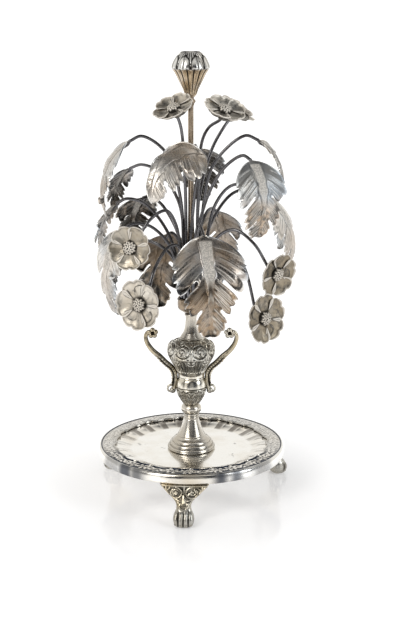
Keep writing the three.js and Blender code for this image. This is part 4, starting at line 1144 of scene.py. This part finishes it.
def bowl_relief(turn, climb):
    """Shell palmettes between leaves that rise from the foot, under a line and a smooth band."""
    x = wrapped(turn, BOWL_SECTORS) * math.radians(1) * BOWL_WIDEST
    sector = 2 * math.pi * BOWL_WIDEST / BOWL_SECTORS
    strokes = [(arc_line((0, 7.4), 3.9, -40, 220, 16), 0.45, 0.42),
               ([(-sector, 12.6), (sector, 12.6)], 0.5, 0.4)]
    for angle in range(40, 160, 33):
        strokes.append((arc_line((0, 5.0), 1.2, angle, angle, 2, 5.0), 0.45, 0.4))
    for side in (-1, 1):
        strokes += acanthus((side * sector / 2, 2.0), 9.2, 4.4, 3)
        scroll = arc_line((side * 2.4, 3.4), 1.7, 90, 90 + side * 300, 12, 0.5)
        strokes.append((scroll, 0.42, 0.4))
    swell = 0.2 * np.cos(turn * math.radians(BOWL_SECTORS)) * smoothstep(12, 10, climb)
    return swell - stack_ridges(np.stack([x, climb], axis=-1), strokes)


def make_ball():
    lip = 1.6
    outside = [(8.3, lip), (8.6, lip + 1.6), (9.4, lip + 3.4), (11.0, lip + 6.8), (13.0, lip + 10.2),
               (14.8, lip + 14.2), (15.0, lip + 17.0), (14.1, lip + 20.2), (11.8, lip + 22.6),
               (7.9, lip + 24.3)]
    inside = [(5.5, lip + 24.3), None, (5.5, lip + 23.1), None, (10.6, lip + 21.2),
              (13.6, lip + 17.4), (13.6, lip + 14.2), (11.8, lip + 10.2), (9.9, lip + 6.8),
              (8.2, lip + 3.4), (6.0, lip + 0.4), None, (5.6, lip), None, (5.6, 0), None, (6.8, 0),
              None, (6.8, lip)]
    place_chased("vase_shoulder", outside, inside, ball_relief,
                 lambda climb: smoothstep(4.0, 8.0, climb),
                 warm=lambda climb: 0.4 + 0.1 * smoothstep(10.0, 4.0, climb),
                 dark=lambda climb: 0.1 * smoothstep(4.0, 8.0, climb))


def make_bowl():
    outside = [(5.0, 0), (5.4, 0.5), (7.3, 3.2), (9.1, 6.6), (9.8, 10.2), (9.4, 14.0), (8.7, 16.4),
               (8.2, 17.2), None, (8.5, 17.5), (8.3, 18.1)]
    inside = [(7.1, 18.1), None, (7.3, 16.4), (8.2, 14.0), (8.5, 10.2), (7.9, 7.2), (6.0, 4.8),
              (2.9, 4.5), None, (2.9, 0)]
    place_chased("vase_bowl", outside, inside, bowl_relief,
                 lambda climb: 1.5 * smoothstep(12.6, 11.4, climb) + 0.1,
                 warm=lambda climb: 0.4 + 0.2 * smoothstep(15.0, 17.5, climb),
                 dark=lambda climb: 0.15)


# Tray

FLUTES = 24
DISH_COLUMNS = 576
RIM_COLUMNS = 984
BAND_OUTER = 57.6
BAND_INNER = 48.4
BAND_ROWS = 30
FLOOR_R = 37.5
SCALLOP = 2.0
# Dark reflections painted on the rolled edge: bearing, half width in degrees and strength
ROLL_PAINTED_REFLECTIONS = [(-56, 8, 0.5), (-43, 5, 0.88), (-34, 4, 0.75), (18, 3.5, 0.88), (28, 3.5, 0.82),
                (49, 7, 0.5), (118, 9, 0.4), (160, 11, 0.4), (-145, 10, 0.4)]


def scallops(turn):
    """Outward swing of the fluted edge: round flutes alternate with straighter ones."""
    wave = np.sin(turn * FLUTES / 2)
    swing = np.abs(wave)
    return SCALLOP * np.where(wave > 0, swing ** 0.8 - 0.35, 0.55 * swing ** 0.6 - 0.35)


def make_dish():
    """The spun sheet: a flat floor, a fluted cavetto and the flange under the rim."""
    low = node_box("tray_dish")[0][2]
    flange = node_box("tray_dish")[1][2]
    sheet = 1.2
    floor = low + sheet
    top = profile_line([(2.3, floor), (20, floor), (36.8, floor), (38.6, floor + 0.12),
                        (41.5, floor + 0.75), (44.6, floor + 1.7), (47.2, flange - 0.2),
                        (48.6, flange), None, (56.3, flange)], 0.6)
    under = profile_line([(56.3, flange - sheet), (48.9, flange - sheet), (45.2, floor + 0.6),
                          (41.8, floor - 0.5), (38.6, low + 0.06), (36.8, low), (20, low),
                          (2.3, low)], 1.2)
    profile = np.concatenate([top, under])
    radius = profile[:, 0][:, None]
    turn = np.linspace(0, 2 * math.pi, DISH_COLUMNS, endpoint=False)[None, :]
    rise = smoothstep(FLOOR_R + 0.5, BAND_INNER - 1.5, radius) * smoothstep(56.0, 51.0, radius)
    grid = shifted(turned_grid(profile, DISH_COLUMNS), rise * scallops(turn) * 1.1)
    # Painted shade on the cavetto: dark creases between the flutes, a shade that grows across each
    # flute and is strongest at the back, and a darker brink at the back. The cavetto is also browner
    # at the back.
    away = smoothstep(0.1, -0.7, np.cos(turn))
    slope = smoothstep(FLOOR_R, FLOOR_R + 2.5, radius)
    cusp_width = 0.5 + 0.7 * smoothstep(FLOOR_R + 1, BAND_INNER - 1, radius)
    crease = smoothstep(1, 0.2, np.abs(wrapped(np.degrees(turn) + 0.7, FLUTES)) / cusp_width)
    flute = (np.degrees(turn) * np.sign(math.pi - turn) * FLUTES / 360 + 0.5) % 1
    shade = 0.75 * smoothstep(0.45, 0.7, flute) * away + 0.25 * flute ** 4 * (1 - away)
    brink = 0.15 * away * smoothstep(46.0, 47.6, radius)
    shape = Shape()
    shape.add(grid, closed_ring(len(profile), DISH_COLUMNS),
              recess=highest(rise * 0.7 * crease, slope * shade, brink),
              warm=0.1 + slope * (0.2 + 0.2 * away))
    shape.place("tray_dish_spun", "tray_dish", "stand", "polished_silver", POLISHED, 35)


def band_relief(turn, radius):
    """Flower and leaf scrolls along the tray's border, mirrored from one repeat to the next."""
    middle = (BAND_INNER + BAND_OUTER) / 2
    repeat = 360 / FLUTES
    flip = np.where(np.floor((turn + repeat / 2) / repeat) % 2 < 1, 1.0, -1.0)
    x = wrapped(turn, FLUTES) * flip * math.radians(1) * middle
    strokes = [(arc_line((-3.6, 0.2), 0.2, 0, 180, 3), 0.8, 0.4),
               (arc_line((2.6, 0.3), 2.4, -170, 150, 16, 1.5), 0.85, 0.42),
               (arc_line((2.6, 0.3), 0.1, 0, 90, 3), 0.75, 0.4),
               (arc_line((6.4, -0.6), 1.6, 60, -200, 10, 0.9), 0.75, 0.4)]
    for angle in range(18, 378, 72):
        strokes.append((arc_line((-3.6, 0.2), 2.1, angle, angle, 2, 2.8), 1.0, 0.42))
    for foot, angle in (((-0.6, -3.2), 60), ((5.2, 3.0), -60), ((-0.4, 3.2), -110)):
        strokes.append((arc_line(foot, 0.1, angle, angle + 30, 4, 1.6), 0.75, 0.38))
    return stack_ridges(np.stack(np.broadcast_arrays(x, radius - middle), axis=-1), strokes)


def make_rim():
    """The rolled edge, the chased band and the lip that follows the flutes, in one closed ring."""
    top, low = TRAY_TOP_Z, TRAY_RIM_Z
    roll = profile_line([(BAND_INNER + 0.2, top - 1.3), (57.7, top - 1.3), None, (58.0, low), None,
                         (59.2, low), (59.7, low + 0.5), (59.96, low + 2.2), (59.92, low + 3.6),
                         (59.5, low + 5.2), (58.9, top - 0.4), (58.3, top - 0.05),
                         (57.9, top - 0.2), (57.6, top - 0.5)], 0.4)
    band = np.stack([np.linspace(57.4, 49.3, BAND_ROWS), np.full(BAND_ROWS, top - 0.42)], axis=1)
    lip = profile_line([(49.1, top - 0.6), (48.9, top - 0.1), (48.6, top), (48.3, top - 0.2),
                        (48.25, top - 0.7), (48.3, top - 1.2)], 0.25)
    profile = np.concatenate([roll, band, lip])
    radius = profile[:, 0][:, None]
    turn = np.linspace(0, 360, RIM_COLUMNS, endpoint=False)[None, :]
    start, end = len(roll), len(roll) + BAND_ROWS
    relief = np.zeros((len(profile), RIM_COLUMNS))
    relief[start:end] = band_relief(turn, band[:, :1])
    chased = relief[start:end]
    grid = turned_grid(profile, RIM_COLUMNS)
    grid[..., 2] += 0.75 * relief
    grid = shifted(grid, smoothstep(54.0, 49.2, radius) * scallops(np.radians(turn)))

    near = smoothstep(0.05, 0.6, np.cos(np.radians(turn)))
    cusp = smoothstep(2.0, 0.8, np.abs(wrapped(turn, FLUTES)))
    recess = np.zeros(relief.shape)
    # The chased ground's dark patina, painted darker towards the front as shade.
    recess[start:end] = smoothstep(0.3, 0.06, chased) * (0.28 + 0.7 * near)
    recess[start - 2:start + 1] = 1.0
    # A black line of painted shade along the inner edge at the front, broken at the cusps.
    front_edge_shade = smoothstep(51.0, 50.2, radius)
    front_edge_shade[:start] = 0.0
    recess = np.maximum(recess, front_edge_shade * near * (1 - 0.9 * cusp))
    # The inner lip is painted darker at the back, a shade.
    recess[end - 1:] = np.maximum(recess[end - 1:], 0.3 * (1 - near))
    # Dark reflections painted on the rolled edge.
    for middle, half, strength in ROLL_PAINTED_REFLECTIONS:
        gap = np.abs(wrapped(turn - middle, 1))
        painted_reflection = strength * smoothstep(half + 4, half - 3, gap)
        recess[:start - 3] = np.maximum(recess[:start - 3], painted_reflection)
    warm = np.full(relief.shape, 0.3)
    warm[:start] = 0.75 * bell(wrapped(turn - FOOT_BEARINGS["foot_front"], 1), 17)
    satin = np.zeros(relief.shape)
    # The raised chasing is frosted, and painted lighter towards the back as a sheen.
    satin[start:end] = smoothstep(0.05, 0.3, chased) * (0.7 - 0.45 * near)
    shape = Shape()
    shape.add(grid, closed_ring(len(profile), RIM_COLUMNS), recess=recess, warm=warm, satin=satin)
    shape.place("tray_rim_chased", "tray_rim", "stand", "chased_silver", RIM, 50)


# Finial

FINIAL_RIBS = 16
FINIAL_PETALS = 8
FINIAL_COLUMNS = 384
FINIAL_WAIST = 17.4


def make_finial():
    """A bud of ribs that close over the top in pointed petals, two ribs to a petal."""
    base = np.array([0, node_box("finial_bud")[0][2]])
    outer = profile_line([(2.4, 0), (3.4, 1.4), (4.4, 4.4), (6.9, 9.6), (9.2, 14.4), (10.8, 16.8),
                          (11.2, 17.6), (11.1, 18.8), (9.9, 21.6), (8.2, 24.2), (6.4, 26.2),
                          (5.2, 27.1), None, (4.8, 26.9), (3.0, 26.2), (0.05, 25.8)], 0.24)
    radius, height = outer[:, 0][:, None], outer[:, 1][:, None]
    turn = np.linspace(0, 360, FINIAL_COLUMNS, endpoint=False)[None, :]
    rib = np.abs(wrapped(turn, FINIAL_RIBS)) / (180 / FINIAL_RIBS)
    petal = np.abs(wrapped(turn + 180 / FINIAL_PETALS, FINIAL_PETALS)) / (180 / FINIAL_PETALS)
    pleats = np.cos(np.radians(turn) * FINIAL_RIBS * 2)
    lower = smoothstep(FINIAL_WAIST, FINIAL_WAIST - 1, height)
    upper = 1 - lower
    arch = 18.6 + 6.6 * np.sqrt(np.clip(1 - petal ** 1.6, 0, 1))
    inside = smoothstep(0.0, 0.5, arch - height)
    middle = bell(petal, 0.12) * inside

    ribs = radius * 0.09 * (np.sqrt(np.clip(1 - rib ** 2, 0, 1)) - 0.5)
    ribs = ribs * smoothstep(0.6, 3.0, height)
    petals = 0.8 * np.sqrt(np.clip(1 - petal ** 2, 0, 1)) * inside - 0.25 * middle
    swell = lower * ribs + upper * (petals + 0.35 * pleats * (1 - inside))
    grid = shifted(turned_grid(outer + base, FINIAL_COLUMNS), swell * smoothstep(0.0, 4.0, radius))

    groove = smoothstep(0.62, 0.9, rib) * smoothstep(1.0, 3.0, height) * lower
    seam = bell(arch - height, 0.6) * upper
    edge = smoothstep(0.6, 0.9, petal) * inside * upper
    streak = smoothstep(0.2, 0.8, -pleats) * (1 - inside) * upper
    ring = bell(height - 17.3, 0.35) * smoothstep(0.45, 0.9, rib) * 0.9
    recess = groove + seam + edge + streak + ring + 0.8 * middle * upper + 0.12 * lower
    socket = turned_grid(np.array([(0.05, 3.3), (1.4, 3.3), (1.4, 0.0)]) + base, FINIAL_COLUMNS)
    lead = ((len(socket), 0), (0, 0))
    warm = np.clip(lower * 0.9 - upper * 0.2, 0, 1) + 0 * turn
    shape = Shape()
    shape.add_tube(np.concatenate([socket, grid]),
                   recess=np.pad(np.clip(recess, 0, 1), lead, constant_values=1.0),
                   warm=np.pad(warm, lead, constant_values=1.0))
    shape.place("finial_bud_fluted", "finial_bud", "bouquet", "warm_rod", BUD, 60)


# Handles

HANDLE_R = 1.7
HANDLE_REACH = 28.7
HANDLE_SIDES = 24
LEAFY_TEETH = 26
LEAFY_BEADS = 30


def make_handle(node, side):
    """A cast scroll: a ball end by the bowl, a leafy lower stretch, a swinging arm and a rosette."""
    bowl = node_box("vase_bowl")[0][2]
    ball = node_box("vase_shoulder")[0][2] + 1.6
    reach = HANDLE_REACH
    points = [(11.1, bowl + 9.4), (10.9, bowl + 12.4), (10.3, bowl + 15.4), (10.6, ball + 2),
              (12.6, ball + 5.6), (16.0, ball + 8.6), (reach - 8.6, ball + 12.8),
              (reach - 4.2, ball + 16.6), (reach - 0.8, ball + 21.8), (reach, ball + 26),
              (reach - 1.6, ball + 28.6), (reach - 4, ball + 28.2)]
    line = smooth_curve([AXIS + np.array([side * x, 0, z]) for x, z in points], 14)
    share = np.linspace(0, 1, len(line))[:, None]
    normal = tube_normals(line, HANDLE_SIDES)
    away = normal[..., 0] * side * 0.8 - normal[..., 2] * 0.6
    outer = np.clip(away, 0, 1)
    leafy = smoothstep(0.02, 0.1, share) * smoothstep(0.62, 0.5, share)
    saw = (share * LEAFY_TEETH) % 1
    teeth = outer * leafy * (0.4 + 0.8 * (1 - saw))
    beads = np.abs(np.sin(share * math.pi * LEAFY_BEADS)) * (np.abs(normal[..., 1]) > 0.7) * leafy
    radius = 0.8 + 0.2 * smoothstep(0.0, 0.25, share) - 0.24 * smoothstep(0.6, 0.85, share)
    radius = HANDLE_R * radius + teeth * 0.9 + beads * 0.18
    recess = leafy * (np.abs(outer - 0.35) < 0.22) * 0.9 + teeth * (saw > 0.8) * 2
    recess = np.clip(recess + 0.75 * smoothstep(0.2, 0.9, -away) + 0.2, 0, 1)
    shape = Shape()
    shape.add_tube(line[:, None] + normal * radius[..., None], recess=recess, warm=0.8, dark=0.2)
    end = AXIS + np.array([side * 11.8, 0, bowl + 8.6])
    shape.add_bead(end, (2.0, 2.0, 2.0), 12, warm=0.5, dark=0.3, recess=0.35)
    curl = [end + np.array([side * (2.3 * math.cos(angle) + 1.0), 0, 2.3 * math.sin(angle) + 1.2])
            for angle in np.radians(np.linspace(150, -140, 12))]
    curl = smooth_curve(curl, 3)
    shape.add_tube(tube_rings(curl, np.linspace(0.9, 0.45, len(curl)), 10), warm=0.5, recess=0.3)
    heart = line[-1] + np.array([-side * 0.4, -0.2, -0.2])
    for index in range(5):
        petal = polar(72 * index + 110, 1.9)
        place = heart + np.array([petal[0], 0, petal[1]])
        shape.add_bead(place, (1.7, 1.4, 1.7), 8, warm=0.7, recess=0.25)
    # The rosette's middle is a black bead, painted as the shade of its hole.
    shape.add_bead(heart - np.array([0, 1.2, 0]), (1.2, 0.8, 1.2), 10, recess=1.0)
    shape.place(node + "_cast", node, "stand", "chased_silver", CHASED, 50)


# Feet

FOOT_OVERHANG = 3.5
FOOT_ROWS = 110
FOOT_COLUMNS = 168
FOOT_FRONT_SHARE = 0.74
ANKLE_HEIGHT = 13.5
TOE_PITCH = 3.1
# Half width, front and back of a foot at heights above the table
FOOT_HALF = [(0, 4.3), (0.7, 4.9), (1.8, 5.9), (4.2, 6.4), (7.2, 6.1), (9.6, 5.1), (11.6, 4.5),
             (13.5, 4.6), (15.2, 5.3), (17.2, 6.9), (19.2, 9.0), (21.4, 11.0), (23.8, 13.1),
             (25.4, 14.3), (26.6, 15.0)]
FOOT_FRONT = [(0, 3.0), (0.8, 4.2), (1.8, 5.1), (4.4, 5.4), (7.0, 4.6), (9.6, 2.9), (11.6, 1.7),
              (13.5, 1.2), (16.0, -0.5), (20.6, -2.5), (26.6, -3.6)]
FOOT_BACK = [(0, -3.0), (0.8, -4.2), (3.0, -5.4), (6.4, -5.2), (9.6, -4.4), (13.5, -4.5),
             (16.0, -5.2), (19.2, -6.6), (23.0, -7.6), (26.6, -8.4)]
# Straight strokes beside the scrolls, drawn for the right half: points, width and height
BRACKET_STROKES = [([(9.4, 20.4), (11.0, 22.8), (12.9, 24.8)], 0.6, 0.45),
                   ([(8.7, 24.9), (10.2, 23.2)], 0.5, 0.4), ([(11.2, 25.6), (11.0, 23.9)], 0.45, 0.4),
                   ([(2.4, 16.2), (4.6, 17.0), (6.8, 18.2)], 0.5, 0.4),
                   ([(1.6, 11.2), (2.6, 13.0), (2.2, 14.8)], 0.6, 0.4)]


def toes(x):
    """0 between two toes, 1 on the middle of a toe."""
    return np.abs(np.sin(math.pi * x / TOE_PITCH))


def foot_relief(x, z):
    """Two scroll medallions beside a stem on the bracket, and the grooves between the toes."""
    strokes = [([(0, 15.2), (0, 18.4)], 0.9, 0.5), ([(0, 17.8), (0, 25.2)], 0.5, 0.45),
               ([(-14.2, 26.2), (14.2, 26.2)], 0.5, 0.4)]
    for side in (-1, 1):
        strokes += [(arc_line((side * 5.0, 21.3), 3.9, 90, 90 + side * 330, 22, 3.0), 0.42, 0.5),
                    (arc_line((side * 5.2, 21.5), 2.3, 60, 60 - side * 400, 20, 0.4), 0.46, 0.55),
                    (arc_line((side * 4.6, 20.4), 0.4, 90, 200, 4, 2.0), 0.4, 0.4)]
        strokes += [([(side * along, up) for along, up in line], width, height)
                    for line, width, height in BRACKET_STROKES]
    carved = stack_ridges(np.stack([x, z], axis=-1), strokes) * smoothstep(10.2, 11.4, z)
    toe = toes(x) ** 0.8
    paw = smoothstep(10.4, 8.6, z) * (1.25 * toe - 0.5)
    knuckle = 0.3 * bell(z - 5.6, 1.2) * smoothstep(10.0, 9.0, z)
    claw = -0.5 * bell(z - 2.4, 0.4)
    return carved + paw + (knuckle + claw) * toe * smoothstep(10.4, 9.4, z)


def make_foot(node, bearing):
    """A cast bracket on a paw. The tables and the relief are drawn for a taller bracket, which is
    squeezed to fit."""
    height = np.linspace(0, FOOT_HEIGHT, FOOT_ROWS)[:, None]
    squeeze = (FOOT_HALF[-1][0] - ANKLE_HEIGHT) / (FOOT_HEIGHT - ANKLE_HEIGHT)
    above = ANKLE_HEIGHT + (height - ANKLE_HEIGHT) * squeeze
    drawn = np.where(height > ANKLE_HEIGHT, above, height)

    def at(table):
        bent = smooth_curve(table, 6)
        return np.interp(drawn, bent[:, 0], bent[:, 1])
    half, front, back = at(FOOT_HALF), at(FOOT_FRONT), at(FOOT_BACK)
    share = np.linspace(0, 1, FOOT_COLUMNS, endpoint=False)[None, :]
    past = (share - FOOT_FRONT_SHARE) / (1 - FOOT_FRONT_SHARE)
    turn = math.pi * np.where(share < FOOT_FRONT_SHARE, share / FOOT_FRONT_SHARE, 1 + past)
    roundness = 2 / 2.6
    x = half * np.sign(np.cos(turn)) * np.abs(np.cos(turn)) ** roundness
    bulge = np.sign(np.sin(turn)) * np.abs(np.sin(turn)) ** roundness
    outward = (front + back) / 2 + (front - back) / 2 * bulge
    facing = smoothstep(0.05, 0.45, np.sin(turn))
    relief = foot_relief(x, drawn + 0 * x) * facing
    grid = np.stack([x, -outward, height + 0 * x], axis=-1)
    normals = grid_normals(grid, True, grid - grid.mean(axis=1, keepdims=True))
    grid = grid + unit(normals * [1, 1, 0]) * relief[..., None] * 0.8
    ground = (relief < 0.04) * facing * (height > 11)
    paw = smoothstep(12.5, 9.5, height)
    between_toes = smoothstep(0.7, 0.3, toes(x)) * facing
    recess = np.clip(1.3 * hollows(relief, 5, 0.25) + 0.45 * ground, 0, 1)
    recess = np.maximum(recess, paw * (0.5 + 0.45 * between_toes))
    angle = math.radians(bearing)
    turned = np.array([[math.cos(angle), math.sin(angle), 0], [-math.sin(angle), math.cos(angle), 0],
                       [0, 0, 1]])
    place = AXIS + polar(bearing, TRAY_R + FOOT_OVERHANG)
    shape = Shape()
    shape.add_tube(grid @ turned + place, recess=recess, warm=0.75 - 0.4 * paw + 0 * x, dark=0.1)
    shape.place(node + "_cast", node, "stand", "chased_silver", CHASED, 60)


make_pedestal()
make_knop()
make_neck()
make_stem_cup()
make_rod()
make_nut()
make_ball()
make_bowl()
make_dish()
make_rim()
make_finial()
make_handle("handle_left", -1)
make_handle("handle_right", 1)
for node, bearing in FOOT_BEARINGS.items():
    make_foot(node, bearing)


# Camera, light and floor, in metres except the camera's place

CAMERA_PLACE = (5.6, -840.0, 335.0)
CAMERA_TILT = 75.3
CAMERA_LENS = 78.4
# The studio's windows: middle and half width as bearings, lowest and highest height, brightness
WINDOWS = [(-42, 13, 0.0, 0.75, 1.0), (58, 12, 0.0, 0.7, 0.95), (4, 16, -1.0, 0.35, 0.3),
           (-96, 35, 0.0, 0.8, 0.95), (110, 20, 0.1, 0.8, 0.6), (10, 70, 0.72, 0.88, 0.75)]
WINDOW_EDGE = 0.08
WINDOW_COLOUR = (1.0, 0.985, 0.95)
ROOM_COLOUR = (0.035, 0.04, 0.05)
WORLD_LEVEL = 0.95
# The floor's glow: from this distance to that one it climbs from the third value to the fourth,
# so that the floor is painted darker round the object, a shade
FLOOR_GLOW = (0.05, 0.17, 0.24, 0.52)
MIRROR_GLOW = 0.15
FLOOR_HALF = 30.0
LAMP_AIM = Vector((0, 0, 0.14))


def link_object(name, data):
    made = bpy.data.objects.new(name, data)
    bpy.context.scene.collection.objects.link(made)
    return made


def make_camera():
    data = bpy.data.cameras.new("camera")
    data.sensor_width = 36.0
    data.lens = CAMERA_LENS
    data.clip_start = 0.01
    data.clip_end = 100.0
    camera = link_object("camera", data)
    camera.location = Vector(AXIS + np.array(CAMERA_PLACE)) * MM
    camera.rotation_euler = (math.radians(CAMERA_TILT), 0, 0)
    bpy.context.scene.camera = camera


def add_lamp(name, place, size, power, colour):
    data = bpy.data.lights.new(name, "AREA")
    data.shape = "RECTANGLE"
    data.size, data.size_y = size
    data.energy = power
    data.color = colour
    lamp = link_object(name, data)
    lamp.location = place
    lamp.rotation_euler = (LAMP_AIM - Vector(place)).to_track_quat("-Z", "Y").to_euler()
    lamp.visible_camera = False


def seen_rays(tree):
    """1 for rays from the camera or through glass, and 1 for those and mirrored rays."""
    path = add_node(tree, "ShaderNodeLightPath").outputs
    plain = combine(tree, "MAXIMUM", path["Is Camera Ray"], path["Is Transmission Ray"])
    return plain, combine(tree, "MAXIMUM", plain, path["Is Glossy Ray"]), path["Is Glossy Ray"]


def make_floor():
    """A pale floor that runs to the horizon and keeps the object's shadow."""
    material, tree, shader = new_material("studio_floor")
    shader.inputs["Base Color"].default_value = (0.88, 0.88, 0.9, 1)
    shader.inputs["Roughness"].default_value = 0.12
    shader.inputs["Emission Color"].default_value = (1, 1, 1, 1)
    place = add_node(tree, "ShaderNodeTexCoord")
    away = add_node(tree, "ShaderNodeVectorMath", operation="LENGTH")
    tree.links.new(place.outputs["Object"], away.inputs[0])
    _, seen, mirrored = seen_rays(tree)
    # Lower glow near the object: a painted shade round it.
    glow = combine(tree, "ADD", ranged(tree, away.outputs["Value"], *FLOOR_GLOW),
                   combine(tree, "MULTIPLY", mirrored, MIRROR_GLOW))
    tree.links.new(combine(tree, "MULTIPLY", seen, glow), shader.inputs["Emission Strength"])
    half = FLOOR_HALF
    mesh = bpy.data.meshes.new("floor")
    mesh.from_pydata([(-half, -half, 0), (half, -half, 0), (half, half, 0), (-half, half, 0)],
                     [], [(0, 1, 2, 3)])
    mesh.materials.append(material)
    link_object("floor", mesh)


def make_world():
    """A studio round the object: white behind it, dark in front with soft windows. Only mirrored
    rays and the light see it, the camera sees plain white."""
    world = bpy.data.worlds.new("studio")
    bpy.context.scene.world = world
    world.use_nodes = True
    tree = world.node_tree
    background = tree.nodes["Background"]
    place = add_node(tree, "ShaderNodeTexCoord")
    split = add_node(tree, "ShaderNodeSeparateXYZ")
    tree.links.new(place.outputs["Generated"], split.inputs["Vector"])
    across, away, height = (split.outputs[key] for key in "XYZ")
    bearing = combine(tree, "ARCTAN2", across, combine(tree, "MULTIPLY", away, -1.0))
    level = combine(tree, "MULTIPLY", ranged(tree, away, -0.15, 0.25),
                    ranged(tree, height, 0.9, 0.6))
    for middle, half, low, high, bright in WINDOWS:
        gap = combine(tree, "SUBTRACT", bearing, math.radians(middle))
        gap = combine(tree, "ABSOLUTE", gap, 0.0)
        pane = combine(tree, "MULTIPLY",
                       ranged(tree, gap, math.radians(half), math.radians(half * 0.6)),
                       ranged(tree, height, low - WINDOW_EDGE, low),
                       ranged(tree, height, high + WINDOW_EDGE, high), bright)
        level = combine(tree, "MAXIMUM", level, pane)
    colour = mix_colour(tree, level, ROOM_COLOUR, WINDOW_COLOUR)
    plain, seen, _ = seen_rays(tree)
    tree.links.new(mix_colour(tree, plain, colour, (1.0, 1.0, 1.0)), background.inputs["Color"])
    tree.links.new(ranged(tree, seen, 0.0, 1.0, WORLD_LEVEL, 1.0), background.inputs["Strength"])


make_camera()
make_floor()
make_world()
add_lamp("key", (-0.9, -1.1, 1.1), (0.8, 1.0), 11.0, (1.0, 0.98, 0.94))
add_lamp("fill", (1.2, -0.6, 0.7), (0.6, 0.9), 6.0, (0.93, 0.97, 1.0))
bpy.context.scene.view_settings.view_transform = "Standard"
